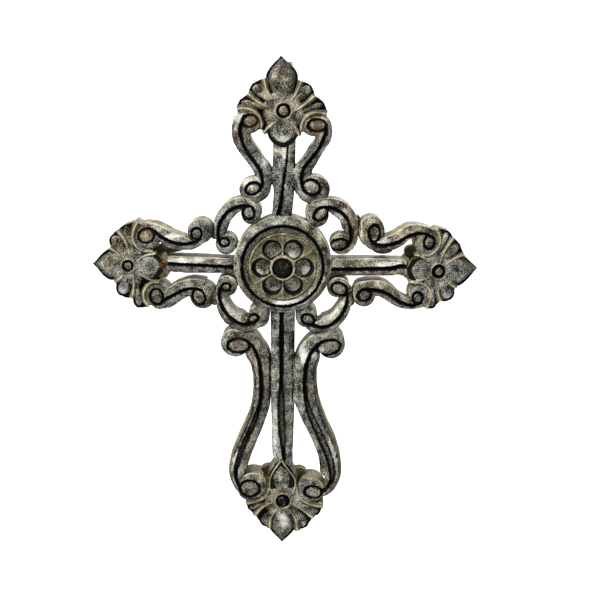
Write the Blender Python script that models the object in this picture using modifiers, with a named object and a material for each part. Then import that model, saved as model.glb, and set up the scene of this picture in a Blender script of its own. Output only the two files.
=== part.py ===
"""Openwork wall cross, carved from one board and hung on a wall by a small tin strip let into its back.

The board is drawn lying flat: x to the right, y up the cross, z out of its flat back towards the viewer.
The finished pieces are then stood up, so that the front faces -Y and the back lies in the XZ plane.
The origin is on the back, behind the centre of the rosette.
"""

import math

import bmesh
import bpy
from mathutils import Matrix, Vector

# driving sizes, in metres
CROSS_HEIGHT = 0.305
EDGE_LEVEL = 0.0155
CREST_RISE = 0.0016
FIELD_DROP = 0.0014
CORNER_LEVEL = 0.0060
GROOVE_HALF_WIDTH = 0.0010
GROOVE_DEPTH = 0.0026
EYE_MOAT_HALF_WIDTH = 0.0009
EYE_MOAT_DEPTH = 0.0024
DISC_RIM_WIDTH = 0.0032
DISC_RISE = 0.0003
RIB_HALF_WIDTH = 0.0011
RIB_RISE = 0.0004
LEAF_BEVEL = 0.0022

ROSETTE_RADIUS = 0.0296
ROSETTE_EDGE_RISE = 0.0008
ROSETTE_RIM_WIDTH = 0.0050
ROSETTE_RIM_RISE = 0.0022
ROSETTE_GROOVE_WIDTH = 0.0016
ROSETTE_GROOVE_DEPTH = 0.0026
ROSETTE_RING_RADIUS = 0.0200
ROSETTE_HUB_RADIUS = 0.0070
ROSETTE_HUB_RISE = 0.0018
ROSETTE_HUB_CROWN = 0.0010
ROSETTE_HUB_DIP = 0.0008
ROSETTE_HUB_FOOT = 0.0016
ROSETTE_LIP = 0.0004
ROSETTE_PETALS = 6
PETAL_DEPTH = 0.0032
PETAL_WALL = 0.0011
PETAL_START = 0.0018
PETAL_END = 0.0010
PETAL_SLOPE = 0.0012

STRIP_WIDTH = 0.0055
STRIP_LENGTH = 0.0220
STRIP_THICKNESS = 0.0010
STRIP_SINK = 0.0010
STRIP_HOLE_RADIUS = 0.0017
POCKET_RADIUS = 0.0030
POCKET_DEPTH = 0.0050
FIT_GAP = 0.0003

# the carving is drawn on a sheet this tall and scaled to the cross
DRAWING_HEIGHT = 305.0
UNIT = CROSS_HEIGHT / DRAWING_HEIGHT

CREST_LEVEL = EDGE_LEVEL + CREST_RISE
FIELD_LEVEL = EDGE_LEVEL - FIELD_DROP
BELOW_BACK = 0.002
ABOVE_FRONT = 0.010
OVERCUT = 0.8
CHIP_SIZE = 0.003

# how fine the facets are: curves are cut into chords that stray this far from them, in drawing units
SAG = 0.70
SMOOTH_STEPS = 5
LEAF_STEPS = 8
SHARP_ANGLE = 25
EYE_SIDES = 6
ROSETTE_SIDES = 32

# Low ellipses fill the corners between neighbouring limbs: (x, y, half width, half height).
CORNERS = [(-42.6, -25, 2.2, 2.6), (42.2, -25, 2.2, 2.8), (-41.8, 16.4, 2.2, 2.6), (45, 26, 2.2, 2.6),
           (-9.4, -137.4, 5.2, 3.6), (9.4, -139, 5.2, 3.6), (-69, 8.4, 8.5, 2.8), (61, 7.2, 6.0, 2.4),
           (79, 6.0, 4.6, 4.0)]

# Each scroll is a spine with a facet on either side. A spine point is
# (x, y, width of the facet on the left hand, width of the facet on the right hand) as one walks along it.
# Each end curls into a disc (x, y, half width, half height) round an eye (the same, and a tilt in degrees).
SCROLLS = {
    "top_left": {
        "spine": [(-21.6, 87.5, 1.0, 5.3), (-23.6, 83.5, 1.5, 5.4), (-24.6, 79, 5.0, 5.1),
                  (-23.8, 75, 5.2, 5.3), (-22.2, 70.3, 5.6, 4.6), (-19.2, 65, 6.2, 3.8),
                  (-15.4, 60, 5.6, 3.8), (-13, 56, 6.5, 4.0), (-11.9, 52, 5.9, 3.7),
                  (-11.8, 48.5, 5.5, 1.4), (-13.4, 44.5, 4.4, 0.6)],
        "discs": [(-20.3, 84.5, 8.6, 7.0), (-16.4, 45.0, 9.2, 7.7)],
        "eyes": [(-18.6, 85, 3.4, 2.4, 10), (-17.4, 45.7, 3.5, 2.4, 25)]},
    "top_right": {
        "spine": [(25.4, 82.5, 3.6, 0.6), (25.7, 78.5, 3.8, 2.2), (24.5, 75, 4.3, 4.6),
                  (22.6, 71, 3.6, 4.4), (20.4, 67.2, 3.4, 5.4), (16.8, 62.8, 4.4, 4.5),
                  (13.6, 59, 5.0, 4.2), (12, 55.5, 5.4, 5.2), (11.4, 51.5, 2.5, 5.2),
                  (11.8, 48, 0.8, 5.4), (13.2, 44.3, 0.6, 5.6)],
        "discs": [(20, 82.5, 9.0, 6.6), (18.3, 45.0, 9.9, 8.6)],
        "eyes": [(20.5, 82.4, 4.4, 2.4, 0), (17.3, 46.3, 4.3, 3.4, -25)]},
    "heart_upper_left": {
        "spine": [(-16.9, 31, 0.5, 3.9), (-18.3, 34, 0.6, 3.6), (-22, 35.2, 1.4, 4.4), (-26, 35, 3.2, 5.4),
                  (-30.5, 33.2, 4.3, 5.0), (-34.5, 29.5, 4.6, 4.6), (-37.2, 25, 5.0, 4.0),
                  (-38.3, 20, 4.5, 2.8), (-38.1, 16, 1.0, 2.3), (-37, 12, 0.5, 2.3)],
        "discs": [(-18.6, 31.2, 6.1, 7.0), (-34, 12.3, 6.3, 6.3)],
        "eyes": [(-20, 31.5, 2.4, 3.0, 0), (-34.9, 13.7, 2.0, 1.7, 0)]},
    "heart_upper_right": {
        "spine": [(19, 30.5, 4.8, 0.6), (20.8, 33.3, 4.6, 0.6), (24, 34.5, 4.8, 0.8), (28, 34.4, 5.4, 2.6),
                  (32, 33.2, 6.2, 4.0), (36, 30.6, 6.0, 4.2), (39, 27, 5.6, 4.6), (40.4, 22.5, 5.2, 4.7),
                  (41, 18, 4.3, 2.0), (40.9, 14.8, 4.0, 0.5), (38.6, 11, 4.2, 0.5)],
        "discs": [(20.6, 30.3, 7.0, 7.8), (35.5, 12.3, 7.0, 6.3)],
        "eyes": [(22.9, 30.6, 3.8, 2.3, 40), (33.8, 12.2, 4.4, 2.2, 12)]},
    "heart_lower_left": {
        "spine": [(-37.7, -14.5, 0.5, 2.8), (-38.4, -18, 1.4, 2.8), (-37.9, -22, 3.8, 3.4),
                  (-36.7, -26, 4.2, 3.8), (-34.2, -30.5, 4.6, 4.6), (-30.5, -34.3, 5.0, 4.8),
                  (-26, -36.6, 5.5, 4.7), (-21.8, -37, 3.5, 4.8), (-18, -36, 0.6, 5.0),
                  (-15.2, -33.8, 0.5, 5.4)],
        "discs": [(-34, -13.3, 6.3, 6.4), (-14.8, -32.4, 6.6, 7.0)],
        "eyes": [(-34.3, -13.7, 1.7, 1.4, 0), (-18, -33.4, 2.3, 1.5, 25)]},
    "heart_lower_right": {
        "spine": [(38.6, -16.5, 3.6, 0.5), (39.2, -20, 3.0, 1.4), (38.9, -24, 3.2, 3.8),
                  (37, -29, 3.6, 4.7), (33.4, -34, 3.9, 4.9), (28.8, -37.6, 4.2, 5.7),
                  (24, -39, 4.2, 5.4), (19.8, -38, 4.6, 2.5), (16.5, -36.2, 4.8, 0.6)],
        "discs": [(33.8, -14.3, 7.0, 6.3), (14.4, -32.4, 6.5, 6.9)],
        "eyes": [(34.2, -15, 3.9, 2.7, -25), (15.3, -34, 3.0, 2.2, -35)]},
    "left_upper": {
        "spine": [(-49.3, 16, 3.6, 0.5), (-52.5, 13.8, 3.9, 0.6), (-56, 12.8, 4.3, 2.4),
                  (-60, 12.5, 4.0, 4.6), (-65, 13.2, 4.1, 5.4), (-69.5, 15, 4.2, 5.5),
                  (-73.5, 17.5, 2.5, 5.5), (-77, 20.4, 0.8, 4.4), (-80.5, 22, 0.6, 3.2)],
        "discs": [(-49.4, 20, 7.6, 7.5), (-81.6, 17, 8.0, 8.4)],
        "eyes": [(-51.5, 18.8, 2.2, 2.4, 0), (-81.5, 17.5, 3.9, 3.2, 30)]},
    "left_lower": {
        "spine": [(-49, -16.2, 0.5, 6.3), (-52.5, -15, 0.8, 5.7), (-56, -14.9, 4.2, 5.6),
                  (-60, -15.9, 4.9, 5.5), (-64.5, -17.8, 5.4, 5.4), (-68.5, -20, 6.0, 4.6),
                  (-72.5, -22.3, 5.9, 2.6), (-75.5, -24.2, 4.0, 0.6), (-78.5, -24, 3.0, 0.5)],
        "discs": [(-48.8, -19.6, 7.7, 7.8), (-76.6, -18.6, 7.8, 7.9)],
        "eyes": [(-51, -20, 2.8, 3.9, 20), (-76.6, -19.9, 2.9, 3.9, 10)]},
    "right_upper": {
        "spine": [(52.4, 17.5, 0.5, 5.2), (53.4, 14, 0.6, 4.6), (56, 12.3, 1.6, 4.3), (60, 11.6, 4.6, 3.8),
                  (65, 12.1, 5.3, 3.9), (69.5, 13.7, 5.6, 3.5), (73.5, 16.2, 5.6, 2.8),
                  (77.5, 18, 6.0, 2.0), (82, 18.9, 5.2, 1.5), (86.5, 18.3, 4.3, 0.6),
                  (89.9, 15.8, 4.4, 0.5)],
        "discs": [(53.3, 19.8, 8.0, 9.6), (86.8, 13.4, 7.7, 8.2)],
        "eyes": [(55, 19, 2.4, 4.0, 0), (88, 13.5, 2.2, 3.0, 0)]},
    "right_lower": {
        "spine": [(46, -17.3, 4.0, 0.5), (48.3, -15.8, 4.8, 0.6), (52, -15.4, 5.2, 0.8),
                  (56, -15.7, 5.6, 3.7), (60, -16.5, 5.8, 4.0), (64, -18.2, 5.0, 4.2),
                  (68, -21, 4.0, 4.1), (72, -23.4, 3.7, 3.9), (76.5, -25, 3.2, 3.2),
                  (80.5, -25.3, 0.8, 2.7), (84, -23.8, 0.5, 3.4)],
        "discs": [(49.3, -19, 7.0, 7.3), (83.6, -19, 7.0, 7.9)],
        "eyes": [(49.5, -18.9, 3.1, 2.5, 15), (81.9, -20.5, 2.1, 2.5, 0)]},
    "lyre_left": {
        "spine": [(-24, -47.4, 5.6, 0.6), (-20.2, -49.2, 6.0, 0.8), (-17.8, -52.5, 5.8, 6.4),
                  (-15.8, -57.2, 6.9, 7.2), (-13.8, -69, 6.0, 5.3), (-13.7, -83, 5.7, 5.4),
                  (-17, -96.5, 6.3, 4.6), (-23.7, -112.5, 6.8, 4.5), (-29.3, -128, 6.9, 4.9),
                  (-30.2, -134.5, 5.8, 4.8), (-29.6, -140, 2.0, 4.3), (-27.2, -145.5, 0.8, 4.0),
                  (-23.5, -149.4, 0.6, 3.8)],
        "discs": [(-29.5, -49.2, 8.8, 8.8), (-19.5, -144.8, 10.6, 9.6)],
        "eyes": [(-27.3, -50.6, 5.9, 3.4, 0), (-21.6, -145, 5.3, 4.5, 0)]},
    "lyre_right": {
        "spine": [(25.5, -47.6, 0.6, 5.3), (21.5, -49.8, 0.8, 6.4), (18.2, -53.8, 5.6, 7.0),
                  (15.8, -58.5, 7.2, 7.6), (13.6, -71, 7.3, 7.3), (14.4, -86, 7.7, 7.6),
                  (18.8, -100, 7.3, 6.4), (25, -114, 7.1, 6.0), (30, -128, 6.4, 7.2),
                  (31, -135, 5.8, 7.5), (30, -140.5, 5.4, 3.0), (27, -145.2, 5.6, 0.8),
                  (23.5, -148.3, 5.0, 0.6)],
        "discs": [(29.7, -50, 8.5, 9.2), (17, -147, 9.4, 8.5)],
        "eyes": [(28, -51.8, 6.3, 3.6, 15), (18.8, -147.4, 4.7, 3.0, -8)]},
}

# the four bars of the cross are straight spines of the same kind
# The bars start under the rim of the rosette and end under the palmettes.
BAR_START = (ROSETTE_RADIUS - ROSETTE_RIM_WIDTH * 0.8) / UNIT
BARS = {
    "bar_top": [(4.0, 77, 2.2, 8.2), (3.4, 70, 4.2, 8.8), (2.4, 60, 5.2, 8.2), (1, 51, 6.3, 7.8),
                (0, 43.5, 6.9, 5.2), (-0.8, 37, 7.2, 4.9), (-2.2, 31, 7.8, 4.0), (-3, BAR_START, 8.0, 3.3)],
    "bar_bottom": [(-0.8, -BAR_START, 8.2, 6.7), (-0.9, -55, 8.0, 6.7), (-1.1, -75, 8.5, 6.9),
                   (-1.3, -88, 8.2, 6.4), (-1.2, -100, 7.8, 6.1), (-0.6, -110, 6.8, 6.6),
                   (0.4, -126, 5.2, 6.6), (1.2, -131, 4.6, 7.4)],
    "bar_left": [(-BAR_START, -1.8, 4.3, 5.0), (-40, -1.1, 4.6, 4.7), (-60, -0.1, 5.4, 4.7),
                 (-73, 0.6, 5.1, 4.1)],
    "bar_right": [(BAR_START, -3.2, 6.3, 4.0), (40, -3, 6.2, 4.2), (60, -2.7, 5.8, 4.5),
                  (66, -2.3, 5.3, 4.9), (72, -1.4, 4.2, 5.8), (79, -0.8, 3.6, 6.2)],
}

# A palmette has a button (x, y, button radius, moat radius, ring radius), leaves and ribs between them.
# A leaf is (base x, base y, tip x, tip y, width, share of its length where it is widest, kind of tip).
ROUND = 0.45
OGIVE = 0.60
POINT = 1.20
POINT_INSET = 2.6
PALMETTES = {
    "palmette_top": {
        "button": (0.9, 90.8, 2.9, 4.1, 5.9),
        "leaves": [(0.6, 93, -0.5, 122.1, 18.6, 0.58, POINT), (0.2, 92, 0.6, 69.3, 18, 0.6, OGIVE),
                   (-3, 93.5, -17.2, 106.0, 9.0, 0.70, ROUND), (4.6, 94, 16.6, 105.2, 9.2, 0.70, ROUND),
                   (-6, 91.5, -25.0, 96.0, 6.4, 0.72, ROUND), (8, 89.5, 24.6, 95.0, 6.2, 0.72, ROUND)],
        "ribs": [[(-4.5, 97), (-7, 99.6), (-9.1, 103.3), (-10.5, 109)],
                 [(5, 96.5), (7.5, 99.5), (9.5, 103.3), (11.2, 107.5)],
                 [(-8, 92.7), (-12, 94.5), (-15.5, 97), (-19.5, 100.6)],
                 [(7, 90.5), (10.5, 92.5), (14, 95), (19, 99.3)],
                 [(-12.3, 80), (-11.8, 84), (-13.3, 87.5), (-16.5, 90.7), (-21, 92.2), (-26, 92)],
                 [(10.9, 78.5), (11.4, 83), (13.3, 86.6), (16.5, 89.1), (21, 89.8), (26, 88.9)]]},
    "palmette_left": {
        "button": (-93.3, -0.7, 2.2, 3.4, 4.6),
        "leaves": [(-95, -0.5, -114.8, 0.4, 19.4, 0.42, POINT), (-94, -0.7, -71, -0.9, 17.6, 0.6, OGIVE),
                   (-93, 3, -102.2, 18.0, 9.4, 0.68, ROUND), (-93, -4.5, -98.4, -19.6, 9.4, 0.70, ROUND),
                   (-88, 5, -94.6, 24.0, 6.4, 0.75, ROUND), (-88, -8, -88, -27, 6.6, 0.75, ROUND)],
        "ribs": [[(-97.6, 5.2), (-99.6, 7.4), (-103.6, 10.4)], [(-96, -6), (-98.4, -8.6), (-101.8, -10.6)],
                 [(-91.2, 5.6), (-92.6, 9.6), (-94.4, 14.6), (-98.4, 20.6)],
                 [(-90.3, -6.6), (-90, -11), (-90.4, -16), (-91.9, -20.8)],
                 [(-78, 8), (-83.6, 8.4), (-87, 10.4), (-89.1, 13.6), (-89.6, 18), (-88.6, 22),
                 (-86.6, 25.5)],
                 [(-74.5, -10.9), (-79, -11), (-82.4, -13.3), (-84.3, -17), (-84.1, -21.5),
                 (-81.5, -25.4)]]},
    "palmette_right": {
        "button": (94.2, -4.2, 2.5, 4.1, 5.4),
        "leaves": [(96, -4, 118, -2.3, 20.6, 0.40, POINT), (96, -4.2, 74.6, -3.2, 16.6, 0.62, OGIVE),
                   (95, 0, 105.8, 13.2, 9.2, 0.68, ROUND), (96, -8.5, 101.4, -22.4, 10.0, 0.66, ROUND),
                   (92, 4, 99.4, 20.2, 6.4, 0.75, ROUND), (90.5, -9, 91, -27.6, 6.4, 0.75, ROUND)],
        "ribs": [[(98.6, 0.2), (101.4, 2.6), (104.8, 4.6), (109, 6.2)],
                 [(97.6, -8.6), (100, -11), (102.6, -12.8), (105, -14.4)],
                 [(94.9, 1.6), (96, 5.6), (98, 9.8), (102, 16)],
                 [(92.8, -10), (93.5, -14), (94.4, -18.4), (96, -22.8)],
                 [(81, 6.2), (86.5, 5.4), (91, 7.6), (93.8, 11.5), (94.2, 16.5), (92.2, 21.5)],
                 [(78, -11.2), (83, -11.2), (87, -13.2), (89.5, -17), (89.5, -22), (87, -26.8)]]},
    "palmette_bottom": {
        "button": (-0.6, -153.2, 3.2, 4.3, 6.3),
        "leaves": [(-0.8, -156, -1.2, -182.9, 17.6, 0.54, POINT), (-1, -151, -1.6, -124.8, 16.6, 0.5, 1.0),
                   (-4, -157, -13.6, -171.2, 9.6, 0.7, ROUND), (4, -157, 14, -172.6, 10.2, 0.7, ROUND),
                   (-7, -153, -23.0, -159.4, 6.4, 0.75, ROUND), (8, -155, 23.2, -162.4, 7.8, 0.75, ROUND)],
        "ribs": [[(-4, -158), (-7, -162.4), (-8.7, -167), (-9.2, -172.4)],
                 [(2.6, -158), (6, -162.6), (8, -167.5), (8.8, -174)],
                 [(-6, -153.6), (-11, -155.8), (-15, -159), (-18.8, -163.4)],
                 [(5, -155), (10, -158), (14.5, -161.4), (19, -165.2)],
                 [(-9.2, -145), (-11, -149.6), (-15, -152.7), (-20, -154.3), (-24, -154.7)],
                 [(8.2, -144), (9.3, -149.6), (13, -153.5), (18.5, -156.2), (25, -157)],
                 [(-6.4, -148.4), (-8.6, -144), (-8.8, -139), (-7, -134), (-1.7, -125.6)],
                 [(6, -148.4), (7.4, -143), (7, -138), (4, -133.5), (-1.3, -125.6)]]},
}

# the corner of the hanging strip shows beside the topmost leaf
STRIP_CORNER = (6.1, 118.8)


def thin(line):
    """A line without the points that lie within SAG of the chord past them."""
    first, last = line[0], line[-1]
    chord = last - first
    reach = max(chord.length, 1e-9)
    furthest, at = 0.0, 0
    for index in range(1, len(line) - 1):
        share = (line[index] - first).dot(chord) / reach ** 2
        stray = (line[index] - first - chord * min(max(share, 0.0), 1.0)).length
        if stray > furthest:
            furthest, at = stray, index
    if furthest < SAG:
        return [first, last]
    return thin(line[:at + 1])[:-1] + thin(line[at:])


def smooth(points):
    """Points along a Catmull-Rom curve through the given points, as few as SAG allows."""
    rows = [Vector(point) for point in points]
    before = [2 * rows[0] - rows[1]] + rows[:-1]
    after = rows[1:] + [2 * rows[-1] - rows[-2]]
    line = []
    for index in range(len(rows) - 1):
        a, b, c, d = before[index], rows[index], rows[index + 1], after[index + 1]
        for step in range(SMOOTH_STEPS):
            t = step / SMOOTH_STEPS
            line.append(0.5 * (2 * b + (c - a) * t + (2 * a - 5 * b + 4 * c - d) * t * t
                               + (3 * b - a - 3 * c + d) * t ** 3))
    line.append(rows[-1])
    return thin(line)


def on_sheet(x, y, level):
    """A point of the drawing, in drawing units, at a level above the back in metres."""
    return Vector((x * UNIT, y * UNIT, level))


def left_hands(line):
    """Unit vectors to the left of a line of drawing points, one for each point."""
    hands = []
    for index in range(len(line)):
        along = line[min(index + 1, len(line) - 1)] - line[max(index - 1, 0)]
        hands.append(Vector((-along.y, along.x)).normalized())
    return hands


def ellipse(x, y, half_width, half_height, tilt=0.0, margin=0.0, sides=None):
    """Points round an ellipse of the drawing, grown by a margin in metres."""
    turn = math.radians(tilt)
    grow = margin / UNIT
    sides = sides or math.ceil(math.pi / math.acos(1 - SAG / max(half_width, half_height)))
    points = []
    for side in range(sides):
        angle = 2 * math.pi * side / sides
        u = (half_width + grow) * math.cos(angle)
        v = (half_height + grow) * math.sin(angle)
        points.append((x + u * math.cos(turn) - v * math.sin(turn),
                       y + u * math.sin(turn) + v * math.cos(turn)))
    return points


def add_object(name, bm, collection):
    """A mesh object from a bmesh, with its faces pointing out."""
    bmesh.ops.recalc_face_normals(bm, faces=bm.faces)
    mesh = bpy.data.meshes.new(name)
    bm.to_mesh(mesh)
    bm.free()
    made = bpy.data.objects.new(name, mesh)
    collection.objects.link(made)
    if collection.hide_render:
        made.hide_render = True
        made.display_type = "WIRE"
    return made


def loft(name, sections, collection, ring=False):
    """A closed solid through unlike sections of the same count; a ring joins the last to the first."""
    bm = bmesh.new()
    rows = [[bm.verts.new(point) for point in section] for section in sections]
    count = len(rows[0])
    pairs = list(zip(rows, rows[1:]))
    if ring:
        pairs.append((rows[-1], rows[0]))
    else:
        bm.faces.new(rows[0])
        bm.faces.new(rows[-1])
    for first, second in pairs:
        for side in range(count):
            after = (side + 1) % count
            bm.faces.new((first[side], first[after], second[after], second[side]))
    return add_object(name, bm, collection)


def band(name, spine, edge, crest, collection):
    """A limb along a spine: upright sides up to the edge level and a facet from each edge to the crest."""
    line = smooth(spine)
    sections = []
    for point, hand in zip(line, left_hands(line)):
        left = (point.x + hand.x * point[2], point.y + hand.y * point[2])
        right = (point.x - hand.x * point[3], point.y - hand.y * point[3])
        sections.append([on_sheet(*left, -BELOW_BACK), on_sheet(*left, edge),
                         on_sheet(point.x, point.y, crest),
                         on_sheet(*right, edge), on_sheet(*right, -BELOW_BACK)])
    return loft(name, sections, collection)


def groove(name, spine, collection):
    """The cutter of the V groove that runs along a spine."""
    line = smooth(spine)
    spread = GROOVE_HALF_WIDTH / UNIT
    sections = []
    for point, hand in zip(line, left_hands(line)):
        reach = hand * spread * (1 + OVERCUT)
        top = CREST_LEVEL + GROOVE_DEPTH * OVERCUT
        sections.append([on_sheet(point.x + reach.x, point.y + reach.y, top),
                         on_sheet(point.x, point.y, CREST_LEVEL - GROOVE_DEPTH),
                         on_sheet(point.x - reach.x, point.y - reach.y, top)])
    return loft(name, sections, collection)


def dome(name, outline, rings, collection):
    """A solid of one outline: each ring is a margin and a level, in metres, from the bottom up."""
    sections = []
    for margin, level in rings:
        sections.append([on_sheet(x, y, level) for x, y in ellipse(*outline, margin=margin)])
    return loft(name, sections, collection)


def moat(name, outline, half_width, depth, collection):
    """The cutter of a V groove that runs round an outline, outside it."""
    top = CREST_LEVEL + depth * OVERCUT
    reach = half_width * (1 + OVERCUT)
    rings = [(half_width - reach, top), (half_width, CREST_LEVEL - depth), (half_width + reach, top)]
    lines = []
    for margin, level in rings:
        lines.append([on_sheet(x, y, level) for x, y in ellipse(*outline, margin=margin, sides=EYE_SIDES)])
    return loft(name, [list(section) for section in zip(*lines)], collection, ring=True)


def leaf_stations(shape):
    """Shares of a leaf's length and of its half width from base to tip, with a round base."""
    base_x, base_y, tip_x, tip_y, width, widest, tip_power = shape
    length = math.hypot(tip_x - base_x, tip_y - base_y)
    stations = []
    for step in range(LEAF_STEPS):
        share = 1 - math.cos(math.pi / 2 * step / LEAF_STEPS)
        stations.append((widest * share, math.sin(math.pi / 2 * share) ** OGIVE))
    for step in range(LEAF_STEPS + 1):
        share = math.sin(math.pi / 2 * step / LEAF_STEPS)
        across = max(math.cos(math.pi / 2 * share), 0.0) ** tip_power
        stations.append((widest + (1 - widest) * share, across))
    stations[-1] = (1.0, 0.0)
    sheet = thin([Vector((along * length, across * width / 2)) for along, across in stations])
    return [(point.x / length, point.y / (width / 2)) for point in sheet]


def leaf_outline(shape, inset):
    """Points round a leaf, drawn in by an inset in metres."""
    base_x, base_y, tip_x, tip_y, width, _, tip_power = shape
    axis = Vector((tip_x - base_x, tip_y - base_y))
    shrink = inset / UNIT
    hand = Vector((-axis.y, axis.x)).normalized() * (width / 2 - shrink)
    base = Vector((base_x, base_y)) + axis.normalized() * shrink
    axis -= axis.normalized() * shrink * (POINT_INSET if tip_power == POINT else 2)
    stations = leaf_stations(shape)
    left = [base + axis * along + hand * across for along, across in stations]
    right = [base + axis * along - hand * across for along, across in stations[1:-1]]
    return left + right[::-1]


def leaf(name, shape, collection):
    """A leaf that rises from its low edge to a flat face."""
    rings = []
    for inset, level in ((0.0, -BELOW_BACK), (0.0, FIELD_LEVEL), (LEAF_BEVEL, CREST_LEVEL)):
        rings.append([on_sheet(point.x, point.y, level) for point in leaf_outline(shape, inset)])
    loft(name, rings, collection)


def ridge(name, points, foot, crest, half_width, collection):
    """A raised line: a three-sided bar from a foot level up to its crest."""
    line = smooth(points)
    sections = []
    for point, hand in zip(line, left_hands(line)):
        reach = hand * half_width / UNIT
        sections.append([on_sheet(point.x + reach.x, point.y + reach.y, foot),
                         on_sheet(point.x, point.y, crest),
                         on_sheet(point.x - reach.x, point.y - reach.y, foot)])
    loft(name, sections, collection)


def to_mesh_object(curve_object, collection):
    """Turns a curve object into a closed mesh object and removes the curve."""
    bpy.context.view_layer.update()
    graph = bpy.context.evaluated_depsgraph_get()
    mesh = bpy.data.meshes.new_from_object(curve_object.evaluated_get(graph))
    name = curve_object.name
    bm = bmesh.new()
    bm.from_mesh(mesh)
    bmesh.ops.remove_doubles(bm, verts=bm.verts, dist=1e-6)
    bpy.data.meshes.remove(mesh)
    curve = curve_object.data
    bpy.data.objects.remove(curve_object)
    bpy.data.curves.remove(curve)
    return add_object(name, bm, collection)


def plate(name, outline, bottom, top, collection):
    """A flat shape of the drawing between two levels."""
    curve = bpy.data.curves.new(name, "CURVE")
    curve.dimensions = "2D"
    curve.fill_mode = "BOTH"
    curve.extrude = (top - bottom) / 2
    spline = curve.splines.new("POLY")
    spline.use_cyclic_u = True
    spline.points.add(len(outline) - 1)
    for knot, (x, y) in zip(spline.points, outline):
        knot.co = (x * UNIT, y * UNIT, 0.0, 1.0)
    made = bpy.data.objects.new(name, curve)
    bpy.context.scene.collection.objects.link(made)
    flat = to_mesh_object(made, collection)
    flat.location.z = (top + bottom) / 2
    return flat


def palmette(name, shape, bosses, cutters):
    """A fan of leaves and ribs round a button."""
    ribs = shape["ribs"]
    left_ends = [ribs[index][-1] for index in (0, 2, 4)]
    right_ends = [ribs[index][-1] for index in (1, 3, 5)]
    near_ends = [ribs[5][0], ribs[4][0]]
    outline = left_ends[::-1] + right_ends + near_ends
    plate(name + "_fan", outline, -BELOW_BACK, FIELD_LEVEL, bosses)
    for index, leaf_shape in enumerate(shape["leaves"]):
        leaf(f"{name}_leaf_{index + 1}", leaf_shape, bosses)
    for index, points in enumerate(ribs):
        ridge(f"{name}_rib_{index + 1}", points, FIELD_LEVEL - RIB_RISE, CREST_LEVEL + RIB_RISE,
              RIB_HALF_WIDTH, bosses)
    x, y, button, moat_radius, ring = shape["button"]
    shoulder = ((moat_radius - ring) / 2) * UNIT
    dome(name + "_boss", (x, y, ring, ring),
         [(0.0, FIELD_LEVEL - BELOW_BACK), (0.0, FIELD_LEVEL), (shoulder, CREST_LEVEL + RIB_RISE)], bosses)
    half = (moat_radius - button) / 2
    moat(name + "_moat", (x, y, button, button), half * UNIT, EYE_MOAT_DEPTH, cutters)


def rosette(collection):
    """The turned boss in the middle: a sloping rim, a groove, a dished ring and a raised hub."""
    edge = EDGE_LEVEL + ROSETTE_EDGE_RISE
    shoulder = edge + ROSETTE_RIM_RISE
    rim = ROSETTE_RADIUS - ROSETTE_RIM_WIDTH
    floor = shoulder - ROSETTE_GROOVE_DEPTH
    dish = edge + ROSETTE_RIM_RISE * 0.35
    hub = dish + ROSETTE_HUB_RISE
    profile = [(0.0, hub + ROSETTE_HUB_CROWN), (ROSETTE_HUB_RADIUS * 0.45, hub + ROSETTE_HUB_CROWN * 0.7),
               (ROSETTE_HUB_RADIUS * 0.78, hub - ROSETTE_HUB_DIP), (ROSETTE_HUB_RADIUS * 0.86, hub),
               (ROSETTE_HUB_RADIUS, hub - ROSETTE_LIP), (ROSETTE_HUB_RADIUS + ROSETTE_HUB_FOOT, dish),
               (ROSETTE_RING_RADIUS, dish + ROSETTE_LIP),
               (rim - ROSETTE_GROOVE_WIDTH, shoulder - ROSETTE_LIP),
               (rim - ROSETTE_GROOVE_WIDTH / 2, floor), (rim, shoulder), (ROSETTE_RADIUS, edge),
               (ROSETTE_RADIUS, -BELOW_BACK), (0.0, -BELOW_BACK)]
    bm = bmesh.new()
    verts = [bm.verts.new((radius, 0.0, level)) for radius, level in profile]
    for first, second in zip(verts, verts[1:]):
        bm.edges.new((first, second))
    made = add_object("rosette", bm, collection)
    screw = made.modifiers.new("Turn", "SCREW")
    screw.steps = ROSETTE_SIDES
    screw.render_steps = ROSETTE_SIDES
    screw.use_merge_vertices = True
    screw.merge_threshold = 0.00001
    return made


def rosette_petal(index, cutters):
    """The cutter of one sunken petal of the rosette."""
    inner = ROSETTE_HUB_RADIUS + PETAL_START
    outer = ROSETTE_RING_RADIUS - PETAL_END
    middle = math.pi * 2 * index / ROSETTE_PETALS
    half = math.pi / ROSETTE_PETALS
    sections = []
    level_top = EDGE_LEVEL + ABOVE_FRONT
    level_rim = EDGE_LEVEL + ROSETTE_EDGE_RISE + ROSETTE_RIM_RISE
    for shrink, level in ((0.0, level_top), (0.0, level_rim), (PETAL_SLOPE, level_rim - PETAL_DEPTH)):
        ring = []
        for radius, spread in ((inner, 1.0), (0.55 * inner + 0.45 * outer, 1.0),
                               (0.15 * inner + 0.85 * outer, 0.86), (outer, 0.45)):
            gap = (PETAL_WALL / 2 + shrink) / radius
            rounding = shrink if radius == inner else -shrink if radius == outer else 0.0
            ring.append((radius + rounding, (half - gap) * spread))
        right = [(radius, middle - angle) for radius, angle in ring]
        left = [(radius, middle + angle) for radius, angle in reversed(ring)]
        sections.append([Vector((r * math.cos(a), r * math.sin(a), level)) for r, a in right + left])
    return loft(f"petal_{index + 1}", sections, cutters)


def box(name, x_range, y_range, z_range, collection):
    """A block between pairs of limits in metres."""
    bm = bmesh.new()
    bmesh.ops.create_cube(bm, size=1.0)
    for vert in bm.verts:
        share = [value + 0.5 for value in vert.co]
        vert.co = [low + (high - low) * part
                   for (low, high), part in zip((x_range, y_range, z_range), share)]
    return add_object(name, bm, collection)


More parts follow.
